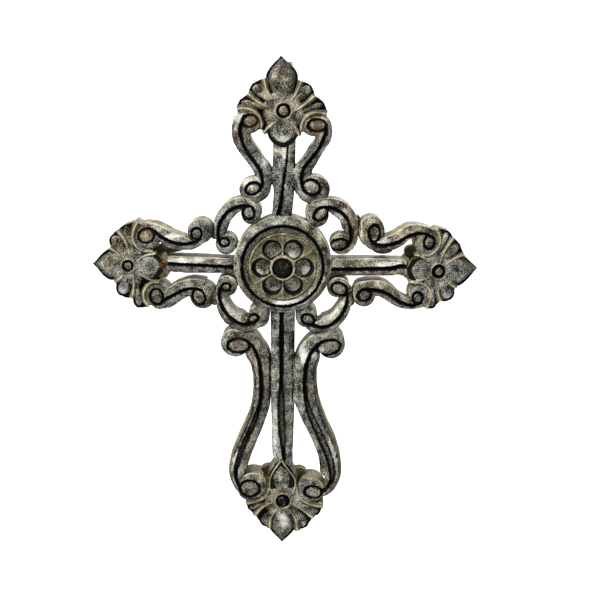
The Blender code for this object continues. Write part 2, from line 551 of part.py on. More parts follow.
def cylinder(name, x, y, z_range, radius, collection, sides=24):
    """An upright round bar between two levels."""
    bm = bmesh.new()
    bmesh.ops.create_cone(bm, cap_ends=True, segments=sides, radius1=radius, radius2=radius,
                          depth=z_range[1] - z_range[0])
    made = add_object(name, bm, collection)
    made.location = (x, y, sum(z_range) / 2)
    return made


def material(name, colour, roughness, metallic):
    """A Principled BSDF material."""
    made = bpy.data.materials.new(name)
    made.use_nodes = True
    shader = made.node_tree.nodes["Principled BSDF"]
    shader.inputs["Base Color"].default_value = (*colour, 1.0)
    shader.inputs["Roughness"].default_value = roughness
    shader.inputs["Metallic"].default_value = metallic
    return made


def boolean(piece, operation, collection):
    """A Boolean modifier with every object of a collection as an operand."""
    modifier = piece.modifiers.new(operation.title(), "BOOLEAN")
    modifier.operation = operation
    modifier.operand_type = "COLLECTION"
    modifier.collection = collection
    modifier.solver = "MANIFOLD"


def span(verts):
    """The longest side of the box round some vertices."""
    sides = []
    for axis in range(3):
        values = [vert.co[axis] for vert in verts]
        sides.append(max(values) - min(values))
    return max(sides)


def clear_chips(piece):
    """Fixes the cuts in a piece's mesh and takes away the loose chips left where cutters cross."""
    bpy.context.view_layer.update()
    graph = bpy.context.evaluated_depsgraph_get()
    bm = bmesh.new()
    bm.from_object(piece, graph)
    waiting = set(bm.verts)
    chips = []
    while waiting:
        island = [waiting.pop()]
        for vert in island:
            for edge in vert.link_edges:
                other = edge.other_vert(vert)
                if other in waiting:
                    waiting.remove(other)
                    island.append(other)
        if span(island) < CHIP_SIZE:
            chips += island
    bmesh.ops.delete(bm, geom=chips, context="VERTS")
    for face in bm.faces:
        face.smooth = True
    piece.modifiers.clear()
    bm.to_mesh(piece.data)
    bm.free()
    piece.data.set_sharp_from_angle(angle=math.radians(SHARP_ANGLE))


def add_collection(name, helper):
    made = bpy.data.collections.new(name)
    made.hide_render = helper
    bpy.context.scene.collection.children.link(made)
    return made


def limbs_and_grooves(parts, limbs, grooves):
    """The bars and scrolls, and the grooves cut into them; the top bar is the piece to build on."""
    for name, spine in BARS.items():
        band(name, spine, EDGE_LEVEL, CREST_LEVEL, limbs if name != "bar_top" else parts)
        groove(name + "_groove", spine, grooves)
    for name, shape in SCROLLS.items():
        band(name, shape["spine"], EDGE_LEVEL, CREST_LEVEL, limbs)
        groove(name + "_groove", shape["spine"], grooves)
        for index, disc in enumerate(shape["discs"]):
            dome(f"{name}_disc_{index + 1}", disc,
                 [(0.0, -BELOW_BACK), (0.0, EDGE_LEVEL), (-DISC_RIM_WIDTH, CREST_LEVEL + DISC_RISE)], limbs)
        for index, eye in enumerate(shape["eyes"]):
            moat(f"{name}_moat_{index + 1}", eye, EYE_MOAT_HALF_WIDTH, EYE_MOAT_DEPTH, grooves)
    for index, corner in enumerate(CORNERS):
        dome(f"corner_{index + 1}", corner, [(0.0, -BELOW_BACK), (0.0, CORNER_LEVEL)], limbs)
    return parts.objects["bar_top"]


def build_hanger(parts, cutters, strip_cutters):
    """The tin strip in its recess, with the hole that hangs over a nail and a pocket behind it."""
    right = STRIP_CORNER[0] * UNIT
    top = STRIP_CORNER[1] * UNIT
    left = right - STRIP_WIDTH
    bottom = top - STRIP_LENGTH
    over = STRIP_SINK + STRIP_THICKNESS
    middle = ((left + right) / 2, (top + bottom) / 2)
    strip = box("hanger_strip", (left, right), (bottom, top), (STRIP_SINK, over), parts)
    cylinder("strip_hole", *middle, (0.0, over + STRIP_SINK), STRIP_HOLE_RADIUS, strip_cutters)
    boolean(strip, "DIFFERENCE", strip_cutters)
    box("strip_recess", (left - FIT_GAP, right + FIT_GAP), (bottom - FIT_GAP, top + FIT_GAP),
        (-BELOW_BACK, over + FIT_GAP), cutters)
    cylinder("nail_pocket", *middle, (-BELOW_BACK, POCKET_DEPTH), POCKET_RADIUS, cutters)
    return strip


def stand_up():
    """Turns everything upright, so that the back of the board lies in the XZ plane."""
    bpy.context.view_layer.update()
    upright = Matrix.Rotation(math.pi / 2, 4, "X")
    for made in bpy.context.scene.objects:
        made.matrix_world = upright @ made.matrix_world


def main():
    for old in list(bpy.data.objects):
        bpy.data.objects.remove(old)
    parts = add_collection("carved_wall_cross", False)
    limbs = add_collection("limbs", True)
    grooves = add_collection("grooves", True)
    bosses = add_collection("bosses", True)
    cutters = add_collection("cutters", True)
    strip_cutters = add_collection("strip_cutters", True)

    cross = limbs_and_grooves(parts, limbs, grooves)
    cross.name = "cross"
    rosette(bosses)
    for name, shape in PALMETTES.items():
        palmette(name, shape, bosses, cutters)
    for index in range(ROSETTE_PETALS):
        rosette_petal(index, cutters)
    reach = CROSS_HEIGHT
    box("behind_the_back", (-reach, reach), (-reach, reach), (-4 * BELOW_BACK, 0.0), cutters)
    strip = build_hanger(parts, cutters, strip_cutters)

    boolean(cross, "UNION", limbs)
    boolean(cross, "DIFFERENCE", grooves)
    boolean(cross, "UNION", bosses)
    boolean(cross, "DIFFERENCE", cutters)
    clear_chips(cross)
    cross.data.materials.append(material("painted_wood", (0.16, 0.15, 0.13), 0.55, 0.0))
    strip.data.materials.append(material("tin", (0.55, 0.54, 0.50), 0.35, 1.0))
    stand_up()


main()
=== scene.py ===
"""Looks of the carved wall cross: the board's relief as one fine mesh, its worn paint with painted
highlights and painted shade, and the hanging strip.

Lengths are in millimetres on a sheet with x to the right and z up from the centre of the rosette. The sheet
lies against the carved front, and a level is a height above the board's flat back.
"""

import math

import bmesh
import bpy
import numpy as np
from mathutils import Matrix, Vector


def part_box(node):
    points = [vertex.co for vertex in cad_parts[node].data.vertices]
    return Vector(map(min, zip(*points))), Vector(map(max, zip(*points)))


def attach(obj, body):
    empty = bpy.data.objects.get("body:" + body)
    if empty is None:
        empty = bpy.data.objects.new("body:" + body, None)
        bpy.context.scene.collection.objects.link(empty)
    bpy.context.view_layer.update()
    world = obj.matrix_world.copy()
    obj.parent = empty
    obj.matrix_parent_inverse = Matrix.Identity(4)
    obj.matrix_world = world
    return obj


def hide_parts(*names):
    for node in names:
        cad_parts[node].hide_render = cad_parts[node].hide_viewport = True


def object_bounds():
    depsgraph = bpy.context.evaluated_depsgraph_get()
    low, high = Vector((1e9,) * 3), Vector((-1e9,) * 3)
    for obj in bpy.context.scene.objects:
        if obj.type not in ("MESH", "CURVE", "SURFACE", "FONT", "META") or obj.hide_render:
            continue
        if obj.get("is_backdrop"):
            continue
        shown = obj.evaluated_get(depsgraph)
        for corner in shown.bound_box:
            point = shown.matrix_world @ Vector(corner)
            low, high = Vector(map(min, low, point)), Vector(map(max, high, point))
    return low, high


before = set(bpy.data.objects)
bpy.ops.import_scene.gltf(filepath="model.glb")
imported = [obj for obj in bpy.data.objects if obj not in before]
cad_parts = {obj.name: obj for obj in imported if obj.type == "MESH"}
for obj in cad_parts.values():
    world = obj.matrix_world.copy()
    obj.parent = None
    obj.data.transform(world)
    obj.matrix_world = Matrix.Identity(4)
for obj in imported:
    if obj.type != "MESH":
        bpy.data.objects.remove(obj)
cad_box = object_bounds()

MM = 0.001

# levels above the back
EDGE = 14.9
CREST = 17.2
FIELD = 14.0
RIB_TOP = 17.4
CORNER_LEVEL = 6.0

# half widths and depths of the carved lines, and how low an eye's edge lies and how far its dome rises
GROOVE_HALF = 1.15
GROOVE_DEPTH = 2.8
MOAT_HALF = 0.95
MOAT_DEPTH = 2.6
EYE_DROP = 0.9
EYE_RISE = 0.8
RIB_HALF = 1.40
WRAP_HALF = 1.45
CHANNEL_HALF = 1.55

# a wide channel's sides, and its black line's half width and distance from the edge
CHANNEL_SLOPE = 1.3
CHANNEL_LINE = 0.75
CHANNEL_INSET = 0.5

# how round the facets are, and how far in a disc is rounded
FACET_POWER = 0.85
DISC_BEVEL = 3.2

# spacing of the mesh over the front, the room kept round a shape, and two corners of the sheet
GRID = 0.55
MARGIN = 3.0
SHEET_LOW = (-119, -187)
SHEET_HIGH = (122, 126)

# wear of the black paint, the outline and the top, each ripple being (strength, cell, seed)
BLACK_WEAR = [(0.22, 2.8, 11), (0.18, 1.3, 13)]
OUTLINE_WEAR = [(0.10, 2.6, 3)]
TOP_WEAR = [(0.14, 4.2, 5), (0.07, 1.5, 7)]

# A spine point is (x, z, width of the facet on the left, width on the right) as one walks along it.
# A disc is (x, z, half width, half height, tilt in degrees), and so is the eye inside it.
SCROLLS = {
    "top_left": dict(
        spine=[(-21.6, 87.5, 1, 5.3), (-23.6, 83.5, 1.5, 5.4), (-24.6, 79, 5, 5.1), (-23.8, 75, 5.2, 5.3),
               (-22.2, 70.3, 5.6, 4.6), (-19.2, 65, 6.2, 3.8), (-15.4, 60, 5.6, 3.8), (-13, 56, 6.5, 4),
               (-11.9, 52, 5.9, 3.7), (-11.8, 48.5, 5.5, 1.4), (-13.4, 44.5, 4.4, 0.6)],
        discs=[(-20.3, 84.5, 8.6, 7, 0), (-16.4, 45, 9.2, 7.7, 0)],
        eyes=[(-18.6, 85, 3.4, 2.4, 10), (-17.4, 45.7, 3.5, 2.4, 25)]),
    "top_right": dict(
        spine=[(25.4, 82.5, 3.6, 0.6), (25.7, 78.5, 3.8, 2.2), (24.5, 75, 4.3, 4.6), (22.6, 71, 3.6, 4.4),
               (20.4, 67.2, 3.4, 5.4), (16.8, 62.8, 4.4, 4.5), (13.6, 59, 5, 4.2), (12, 55.5, 5.4, 5.2),
               (11.4, 51.5, 2.5, 5.2), (11.8, 48, 0.8, 5.4), (13.2, 44.3, 0.6, 5.6)],
        discs=[(20, 82.5, 9, 6.6, 0), (18.3, 45, 9.9, 8.6, 0)],
        eyes=[(20.5, 82.4, 4.4, 2.4, 0), (17.3, 46.3, 4.3, 3.4, -25)]),
    "heart_upper_left": dict(
        spine=[(-16.9, 31, 0.5, 3.9), (-18.3, 34, 0.6, 3.6), (-22, 35.2, 1.4, 4.4), (-26, 35, 3.2, 5.4),
               (-30.5, 33.2, 4.3, 5), (-34.5, 29.5, 4.6, 4.6), (-37.2, 25, 5, 4), (-38.3, 20, 4.5, 2.8),
               (-38.1, 16, 1, 2.3), (-37, 12, 0.5, 2.3)],
        discs=[(-18.6, 31.2, 6.1, 7, 0), (-34, 12.3, 6.3, 6.3, 0)],
        eyes=[(-20, 31.5, 2.4, 3, 0), (-34.9, 13.7, 2, 1.7, 0)]),
    "heart_upper_right": dict(
        spine=[(19, 30.5, 4.8, 0.6), (20.8, 33.3, 4.6, 0.6), (24, 34.5, 4.8, 0.8), (28, 34.4, 5.4, 2.6),
               (32, 33.2, 6.2, 4), (36, 30.6, 6, 4.2), (39, 27, 5.6, 4.6), (40.4, 22.5, 5.2, 4.7),
               (41, 18, 4.3, 2), (40.9, 14.8, 4, 0.5), (38.6, 11, 4.2, 0.5)],
        discs=[(20.6, 30.3, 7, 7.8, 0), (35.5, 12.3, 7, 6.3, 0)],
        eyes=[(22.9, 30.6, 3.8, 2.3, 40), (33.8, 12.2, 4.4, 2.2, 12)]),
    "heart_lower_left": dict(
        spine=[(-37.7, -14.5, 0.5, 2.8), (-38.4, -18, 1.4, 2.8), (-37.9, -22, 3.8, 3.4),
               (-36.7, -26, 4.2, 3.8), (-34.2, -30.5, 4.6, 4.6), (-30.5, -34.3, 5, 4.8),
               (-26, -36.6, 5.5, 4.7), (-21.8, -37, 3.5, 4.8), (-18, -36, 0.6, 5),
               (-15.2, -33.8, 0.5, 5.4)],
        discs=[(-34, -13.3, 6.3, 6.4, 0), (-14.8, -32.4, 6.6, 7, 0)],
        eyes=[(-34.3, -13.7, 1.7, 1.4, 0), (-18, -33.4, 2.3, 1.5, 25)]),
    "heart_lower_right": dict(
        spine=[(38.6, -16.5, 3.6, 0.5), (39.2, -20, 3, 1.4), (38.9, -24, 3.2, 3.8), (37, -29, 3.6, 4.7),
               (33.4, -34, 3.9, 4.9), (28.8, -37.6, 4.2, 5.7), (24, -39, 4.2, 5.4), (19.8, -38, 4.6, 2.5),
               (16.5, -36.2, 4.8, 0.6)],
        discs=[(33.8, -14.3, 7, 6.3, 0), (14.4, -32.4, 6.5, 6.9, 0)],
        eyes=[(34.2, -15, 3.9, 2.7, -25), (15.3, -34, 3, 2.2, -35)]),
    "left_upper": dict(
        spine=[(-49.3, 16, 3.6, 0.5), (-52.5, 13.8, 3.9, 0.6), (-56, 12.8, 4.3, 2.4), (-60, 12.5, 4, 4.6),
               (-65, 13.2, 4.1, 5.4), (-69.5, 15, 4.2, 5.5), (-73.5, 17.5, 2.5, 5.5), (-77, 20.4, 0.8, 4.4),
               (-80.5, 22, 0.6, 3.2)],
        discs=[(-49.4, 20, 7.6, 7.5, 0), (-81.6, 17, 8, 8.4, 0)],
        eyes=[(-51.5, 18.8, 2.2, 2.4, 0), (-81.5, 17.5, 3.9, 3.2, 30)]),
    "left_lower": dict(
        spine=[(-49, -16.2, 0.5, 6.3), (-52.5, -15, 0.8, 5.7), (-56, -14.9, 4.2, 5.6),
               (-60, -15.9, 4.9, 5.5), (-64.5, -17.8, 5.4, 5.4), (-68.5, -20, 6, 4.6),
               (-72.5, -22.3, 5.9, 2.6), (-75.5, -24.2, 4, 0.6), (-78.5, -24, 3, 0.5)],
        discs=[(-48.8, -19.6, 7.7, 7.8, 0), (-76.6, -18.6, 7.8, 7.9, 0)],
        eyes=[(-51, -20, 2.8, 3.9, 20), (-76.6, -19.9, 2.9, 3.9, 10)]),
    "right_upper": dict(
        spine=[(52.4, 17.5, 0.5, 5.2), (53.4, 14, 0.6, 4.6), (56, 12.3, 1.6, 4.3), (60, 11.6, 4.6, 3.8),
               (65, 12.1, 5.3, 3.9), (69.5, 13.7, 5.6, 3.5), (73.5, 16.2, 5.6, 2.8), (77.5, 18, 6, 2),
               (82, 18.9, 5.2, 1.5), (86.5, 18.3, 4.3, 0.6), (89.9, 15.8, 4.4, 0.5)],
        discs=[(53.3, 19.8, 8, 9.6, 0), (86.8, 13.4, 7.7, 8.2, 0)],
        eyes=[(55, 19, 2.4, 4, 0), (88, 13.5, 2.2, 3, 0)]),
    "right_lower": dict(
        spine=[(46, -17.3, 4, 0.5), (48.3, -15.8, 4.8, 0.6), (52, -15.4, 5.2, 0.8), (56, -15.7, 5.6, 3.7),
               (60, -16.5, 5.8, 4), (64, -18.2, 5, 4.2), (68, -21, 4, 4.1), (72, -23.4, 3.7, 3.9),
               (76.5, -25, 3.2, 3.2), (80.5, -25.3, 0.8, 2.7), (84, -23.8, 0.5, 3.4)],
        discs=[(49.3, -19, 7, 7.3, 0), (83.6, -19, 7, 7.9, 0)],
        eyes=[(49.5, -18.9, 3.1, 2.5, 15), (81.9, -20.5, 2.1, 2.5, 0)]),
    "lyre_left": dict(
        spine=[(-24, -47.4, 5.6, 0.6), (-20.2, -49.2, 6, 0.8), (-17.8, -52.5, 5.8, 6.4),
               (-15.8, -57.2, 6.9, 7.2), (-14.5, -62.5, 6.8, 6), (-13.8, -69, 6, 5.3),
               (-13.4, -76, 5.4, 5.3), (-13.7, -83, 5.7, 5.4), (-14.8, -89, 6.4, 5.2),
               (-17, -96.5, 6.3, 4.6), (-20.2, -104.5, 6.6, 4.5), (-23.7, -112.5, 6.8, 4.5),
               (-27, -120.5, 7, 4.6), (-29.3, -128, 6.9, 4.9), (-30.2, -134.5, 5.8, 4.8),
               (-29.6, -140, 2, 4.3), (-27.2, -145.5, 0.8, 4), (-23.5, -149.4, 0.6, 3.8)],
        discs=[(-29.5, -49.2, 8.8, 8.8, 0), (-19.5, -144.8, 10.6, 9.6, 0)],
        eyes=[(-27.3, -50.6, 5.9, 3.4, 0), (-21.6, -145, 5.3, 4.5, 0)]),
    "lyre_right": dict(
        spine=[(25.5, -47.6, 0.6, 5.3), (21.5, -49.8, 0.8, 6.4), (18.2, -53.8, 5.6, 7),
               (15.8, -58.5, 7.2, 7.6), (14.3, -64, 7.1, 7.6), (13.6, -71, 7.3, 7.3), (13.6, -79, 7.7, 7.3),
               (14.4, -86, 7.7, 7.6), (16.2, -93, 7.4, 6.7), (18.8, -100, 7.3, 6.4), (22, -107, 6.8, 6),
               (25, -114, 7.1, 6), (27.9, -121, 6.8, 6.4), (30, -128, 6.4, 7.2), (31, -135, 5.8, 7.5),
               (30, -140.5, 5.4, 3), (27, -145.2, 5.6, 0.8), (23.5, -148.3, 5, 0.6)],
        discs=[(29.7, -50, 8.5, 9.2, 0), (17, -147, 9.4, 8.5, 0)],
        eyes=[(28, -51.8, 6.3, 3.6, 15), (18.8, -147.4, 4.7, 3, -8)]),
}
BARS = {
    "bar_top": [(3.6, 73.5, 4.2, 8.8), (2.4, 60, 5.2, 8.2), (1, 51, 6.3, 7.8), (0, 43.5, 6.9, 5.2),
                (-0.8, 37, 7.2, 4.9), (-2.2, 31, 7.8, 4), (-3, 27, 8, 3.3)],
    "bar_bottom": [(-0.8, -27, 8.2, 6.7), (-0.9, -45, 8, 6.6), (-0.9, -60, 7.9, 6.8), (-1.1, -75, 8.5, 6.9),
                   (-1.3, -88, 8.2, 6.4), (-1.2, -100, 7.8, 6.1), (-0.6, -110, 6.8, 6.6),
                   (0, -119, 5.9, 7.2), (0.4, -126, 5.2, 6.6), (1.2, -131, 4.6, 7.4)],
    "bar_left": [(-27, -1.8, 4.3, 5), (-40, -1.1, 4.6, 4.7), (-50, -0.6, 5.2, 4.8), (-60, -0.1, 5.4, 4.7),
                 (-67, 0.3, 5.2, 4.3), (-70, 0.5, 5.1, 4.1)],
    "bar_right": [(27, -3.2, 6.3, 4), (40, -3, 6.2, 4.2), (50, -2.8, 6, 4.4), (60, -2.7, 5.8, 4.5),
                  (66, -2.3, 5.3, 4.9), (71, -1.2, 4, 6), (75, -1.2, 4, 6)],
}

# A palmette has a button (x, z, button radius, moat radius, ring radius), leaves and ribs between them.
# A leaf is (base x, base z, tip x, tip z, width, share of its length where it is widest, kind of tip).
ROUND = 0.45
OGIVE = 0.60
BLUNT = 1.00
POINT = 1.20
PALMETTES = {
    "palmette_top": dict(
        button=(0.9, 90.8, 2.9, 4.1, 5.9),
        leaves=[(0.6, 93, -0.5, 122.1, 18.6, 0.58, POINT), (0.2, 92, 0.6, 69.3, 18, 0.6, OGIVE),
                (-3, 93.5, -17.2, 106, 9, 0.7, ROUND), (4.6, 94, 16.6, 105.2, 9.2, 0.7, ROUND),
                (-6, 91.5, -25, 96, 6.4, 0.72, ROUND), (8, 89.5, 24.6, 95, 6.2, 0.72, ROUND)],
        ribs=[[(-4.5, 97), (-7, 99.6), (-9.1, 103.3), (-10.5, 109)],
              [(5, 96.5), (7.5, 99.5), (9.5, 103.3), (11.2, 107.5)],
              [(-8, 92.7), (-12, 94.5), (-15.5, 97), (-19.5, 100.6)],
              [(7, 90.5), (10.5, 92.5), (14, 95), (19, 99.3)],
              [(-12.3, 80), (-11.8, 84), (-13.3, 87.5), (-16.5, 90.7), (-21, 92.2), (-26, 92)],
              [(10.9, 78.5), (11.4, 83), (13.3, 86.6), (16.5, 89.1), (21, 89.8), (26, 88.9)],
              [(-3, 84.4), (-5.4, 83.3), (-8.1, 81.1), (-10.9, 78)],
              [(4.8, 84), (6.6, 82.9), (8.4, 80.2), (10, 76.5)]]),
    "palmette_left": dict(
        button=(-93.3, -0.7, 2.2, 3.4, 4.6),
        leaves=[(-95, -0.5, -114.8, 0.4, 19.4, 0.42, POINT), (-94, -0.7, -71, -0.9, 17.6, 0.6, OGIVE),
                (-93, 3, -102.2, 18, 9.4, 0.68, ROUND), (-93, -4.5, -98.4, -19.6, 9.4, 0.7, ROUND),
                (-88, 5, -94.6, 24, 6.4, 0.75, ROUND), (-88, -8, -88, -27, 6.6, 0.75, ROUND)],
        ribs=[[(-97.6, 5.2), (-99.6, 7.4), (-103.6, 10.4)], [(-96, -6), (-98.4, -8.6), (-101.8, -10.6)],
              [(-91.2, 5.6), (-92.6, 9.6), (-94.4, 14.6), (-98.4, 20.6)],
              [(-90.3, -6.6), (-90, -11), (-90.4, -16), (-91.9, -20.8)],
              [(-78, 8), (-83.6, 8.4), (-87, 10.4), (-89.1, 13.6), (-89.6, 18), (-88.6, 22), (-86.6, 25.5)],
              [(-74.5, -10.9), (-79, -11), (-82.4, -13.3), (-84.3, -17), (-84.1, -21.5), (-81.5, -25.4)],
              [(-87.8, 1.8), (-85.2, 4.1), (-81.4, 5.8), (-76, 7)],
              [(-86.9, -4.4), (-84, -7), (-80.1, -9.3), (-74.5, -10.4)]]),
    "palmette_right": dict(
        button=(94.2, -4.2, 2.5, 4.1, 5.4),
        leaves=[(96, -4, 118, -2.3, 20.6, 0.4, POINT), (96, -4.2, 74.6, -3.2, 16.6, 0.62, OGIVE),
                (95, 0, 105.8, 13.2, 9.2, 0.68, ROUND), (96, -8.5, 101.4, -22.4, 10, 0.66, ROUND),
                (92, 4, 99.4, 20.2, 6.4, 0.75, ROUND), (90.5, -9, 91, -27.6, 6.4, 0.75, ROUND)],
        ribs=[[(98.6, 0.2), (101.4, 2.6), (104.8, 4.6), (109, 6.2)],
              [(97.6, -8.6), (100, -11), (102.6, -12.8), (105, -14.4)],
              [(94.9, 1.6), (96, 5.6), (98, 9.8), (102, 16)],
              [(92.8, -10), (93.5, -14), (94.4, -18.4), (96, -22.8)],
              [(81, 6.2), (86.5, 5.4), (91, 7.6), (93.8, 11.5), (94.2, 16.5), (92.2, 21.5)],
              [(78, -11.2), (83, -11.2), (87, -13.2), (89.5, -17), (89.5, -22), (87, -26.8)],
              [(88.6, 1.2), (86.6, 3.2), (83.5, 4.9), (79.6, 6)],
              [(88.6, -7), (85.4, -8.9), (81.4, -9.9), (76.6, -10.8)]]),
    "palmette_bottom": dict(
        button=(-0.6, -153.2, 3.2, 4.3, 6.3),
        leaves=[(-0.8, -156, -1.2, -182.9, 17.6, 0.54, POINT), (-1, -151, -1.6, -124.8, 16.6, 0.5, BLUNT),
                (-4, -157, -13.6, -171.2, 9.6, 0.7, ROUND), (4, -157, 14, -172.6, 10.2, 0.7, ROUND),
                (-7, -153, -23, -159.4, 6.4, 0.75, ROUND), (8, -155, 23.2, -162.4, 7.8, 0.75, ROUND)],
        ribs=[[(-4, -158), (-7, -162.4), (-8.7, -167), (-9.2, -172.4)],
              [(2.6, -158), (6, -162.6), (8, -167.5), (8.8, -174)],
              [(-6, -153.6), (-11, -155.8), (-15, -159), (-18.8, -163.4)],
              [(5, -155), (10, -158), (14.5, -161.4), (19, -165.2)],
              [(-9.2, -145), (-11, -149.6), (-15, -152.7), (-20, -154.3), (-24, -154.7)],
              [(8.2, -144), (9.3, -149.6), (13, -153.5), (18.5, -156.2), (25, -157)],
              [(-6.4, -148.4), (-8.6, -144), (-8.8, -139), (-7, -134), (-1.7, -125.6)],
              [(6, -148.4), (7.4, -143), (7, -138), (4, -133.5), (-1.3, -125.6)]]),
}

# share of a grid side that the outline keeps clear of each grid point
SNAP = 0.08

# low ellipses that fill the corners between neighbouring limbs: x, z, half width, half height
CORNERS = [(-42.6, -25, 2.2, 2.6), (42.2, -25, 2.2, 2.8), (-41.8, 16.4, 2.2, 2.6), (45, 26, 2.2, 2.6),
           (-9.4, -137.4, 5.2, 3.6), (9.4, -139, 5.2, 3.6), (-69, 8.4, 8.5, 2.8), (61, 7.2, 6, 2.4),
           (79, 6, 4.6, 4)]

# low olive collars where a side bar meets its palmette: x, z, half width, half height
COLLARS = [(-71.3, -0.9, 2.8, 7.8), (75, -2.4, 2.6, 6.6)]

# how wide the slanting outer sides of the lower scrolls show, on the left and right hands of their spines
SLANTS = {"lyre_left": (0.0, 1.3), "lyre_right": (1.7, 0.0)}
SLANT_DROP = 3.0
ARRIS_LINE = 0.42

# the sides are smooth below a worn arris of this depth; edges are shaded sharp above this angle in degrees
ARRIS = 0.8
SHARP_ANGLE = 40

# the boss: its radius, the middles of its ring, cups and hub, a cup's size, its groove's and dish's radii
ROSETTE_RADIUS = 29.6
RING_Z = -1.2
CUPS_Z = -1.9
HUB_Z = -2.1
CUP_RADIUS = 5.9
CUP_MIDDLE = 12.8
CUP_DEPTH = 2.9
RIM_GROOVE_RADIUS = 24.4
DISH_RADIUS = 20.2

# the boss and its hub as (radius, level) outwards from the middle
ROSETTE_PROFILE = [(0, 17.2), (7.4, 17.2), (8.6, 16.8), (19, 16.6), (19.8, 17.3), (20.6, 16.2), (23.4, 18),
                   (RIM_GROOVE_RADIUS, 15.4), (25.1, 16.4), (25.9, 18.6), (29.8, 15.8)]
HUB_PROFILE = [(0, 19.7), (3, 19.4), (5, 18.2), (5.8, 15.8), (6.6, 18.6), (7.3, 18.4), (8.2, 17)]

# fit of the hanging strip in the back and how far its cutters stand out, in metres, and the pocket under it
FIT_GAP = 0.0003
OUTSIDE = 0.001
POCKET_RADIUS = 3.0
POCKET_DEPTH = 5.0
BACK_ZONE = 5.5

# finish of the paint: the bumps' height is in metres
BUMP_STRENGTH = 0.7
BUMP_HEIGHT = 0.0004
PAINT_SHINE = 0.12

# camera and stage, in metres and degrees
CAMERA_PLACE = (0.01044, -0.5601, 0.09971)
CAMERA_PITCH = 12.606
CAMERA_LENS = 55
FLOOR_LEVEL = -1.2
FLOOR_REACH = 4.0
WALL_DISTANCE = 2.6
SHELL_BEND = 1.0
SHELL_STEPS = 12
SHELL_GLOW = 0.6
WORLD_LIGHT = 0.3
LAMP_TARGET = (0.0, 0.0, -0.03)

# the lamps: name, place, size and power
LAMPS = [("key", (-0.75, -0.6, 1.15), 0.4, 42), ("fill", (0.9, -1.0, 0.1), 0.8, 3),
         ("back_light", (0.5, 1.2, 0.7), 1.0, 14)]

# half widths of the bars' grooves, one for each spine point, and of the wide lower channels of the lyre
BAR_GROOVES = {
    "bar_top": [0.5, 0.7, 0.9, 1.1, 1.3, 1.45, 1.5],
    "bar_bottom": [1.3, 1.5, 1.5, 1.4, 2.1, 2.2, 2.1, 1.4, 0.9, 0.6],
    "bar_left": [1.4, 1.1, 1, 1, 1.1, 1.2],
    "bar_right": [1.2, 1.2, 1.3, 1.4, 1.4, 1.5, 1.2],
}
LYRE_GROOVES = {
    "lyre_left": [0.7, 0.7, 0.9, 1.1, 1.3, 1.4, 1.45, 1.45, 1.4, 1.6, 1.6, 1.6, 1.6, 1.6, 1.4, 1, 0.8, 0.7],
    "lyre_right": [0.9, 0.9, 1.1, 1.3, 1.4, 1.45, 1.5, 1.5, 1.8, 2.1, 2.3, 2.3, 2.3, 2.2, 1.9, 1.5, 1.1, 1],
}

# the ribs that wrap round the volutes, and the share of a leaf's reach that the fan behind it has
WRAPS = (4, 5)
SCALLOP = 0.98

# how far in the leaves are bevelled, their level, and how far below the crest one lies over a bar
LEAF_BEVEL = 3.2
SIDE_LEAF_BEVEL = 2.1
LEAF_LEVEL = CREST - 0.4
OVER_BAR_DROP = 0.55

# half width of a main leaf's black border, width of a side leaf's, and half widths at the main leaves' tips
LEAF_BORDER = 0.8
SIDE_LEAF_BORDER = 1.3
TIP_BORDERS = (0.35, 1.6)

# how wide a rib is at its outer end, as a share of its middle: flared, even, or slim round an outlined leaf
FLARED = 1.55
EVEN = 1.0
SLIM = 0.85

# the boss and the buttons are laid this much too high, so that nothing hides them, and then lowered
ABOVE_ALL = 20
ABOVE_LEAVES = 5

# round each button the fan stands at the crest, out to this far
FAN_CORE = 13.0

# how much each kind of shape stands above the rest
LIFTS = {"bar": -0.6, "lyre": -0.2, "heart": 0.4}

# brown stains: x, z, radius, strength
STAINS = [(-18, 84.5, 4.5, 0.9), (0.8, 113, 3.6, 0.5), (34, -15, 3.6, 0.8), (-81.5, 17.5, 5, 0.6),
          (-76.6, -17, 3, 0.6), (-73.5, 0, 2.6, 0.6), (-27.3, -47.6, 4, 0.5), (-5, -176, 3, 0.6),
          (109, 2, 2.6, 0.5), (41, 26, 2.6, 0.7), (-45, -18, 2.4, 0.6), (-58, -9, 1.2, 0.8),
          (20, -138, 1.6, 0.6), (14, -161, 1.6, 0.6), (22.9, 30.6, 3, 0.5), (20.5, 82.4, 4.5, 0.4)]

# pale patches, partly painted highlights where faces turn up to the light and partly worn paint: x, z, half
# width, half height, tilt in degrees
PALE_HIGHLIGHTS_AND_WEAR = [(-20.3, 49.6, 4.6, 3, 15), (33.5, 29.5, 3, 5.5, -50), (31, -28.5, 10, 3.6, 48),
        (-31, -28, 9, 3.2, -46), (3, -23.4, 11, 2.2, 4), (14.2, -4.4, 3.6, 3.2, 0), (-5, -16.6, 3.6, 3, 0),
        (6.8, -15.4, 4, 3, 0), (5.6, 6.2, 3, 3.2, 0), (-15, -5.4, 3.4, 2.4, 0), (-1, 73.6, 7.4, 3.4, 0),
        (-25.2, 88.6, 2.8, 6.4, -20), (23.8, 86.4, 6.4, 2, 0), (12.4, -57, 2.6, 12, 14),
        (-31, -122, 3, 20, 14), (32.6, -124, 2.2, 18, 14), (-0.5, -166, 3.4, 5.5, 0),
        (-66, 17.4, 9, 2.2, 22), (58, 14.4, 8, 2, 0), (21, -55, 6, 2.4, 35), (-19, 103.5, 5, 2.2, -55),
        (17.5, 104.5, 3.2, 3, 0), (64, -0.4, 14, 2.2, 0), (-58, 2.6, 14, 1.8, 0), (-5.6, -105, 2.2, 22, 0),
        (-10, 67, 2.4, 10, 0), (2, 68, 4, 5, 0)]

# palmettes whose button is left black
DARK_BUTTONS = ("palmette_bottom",)

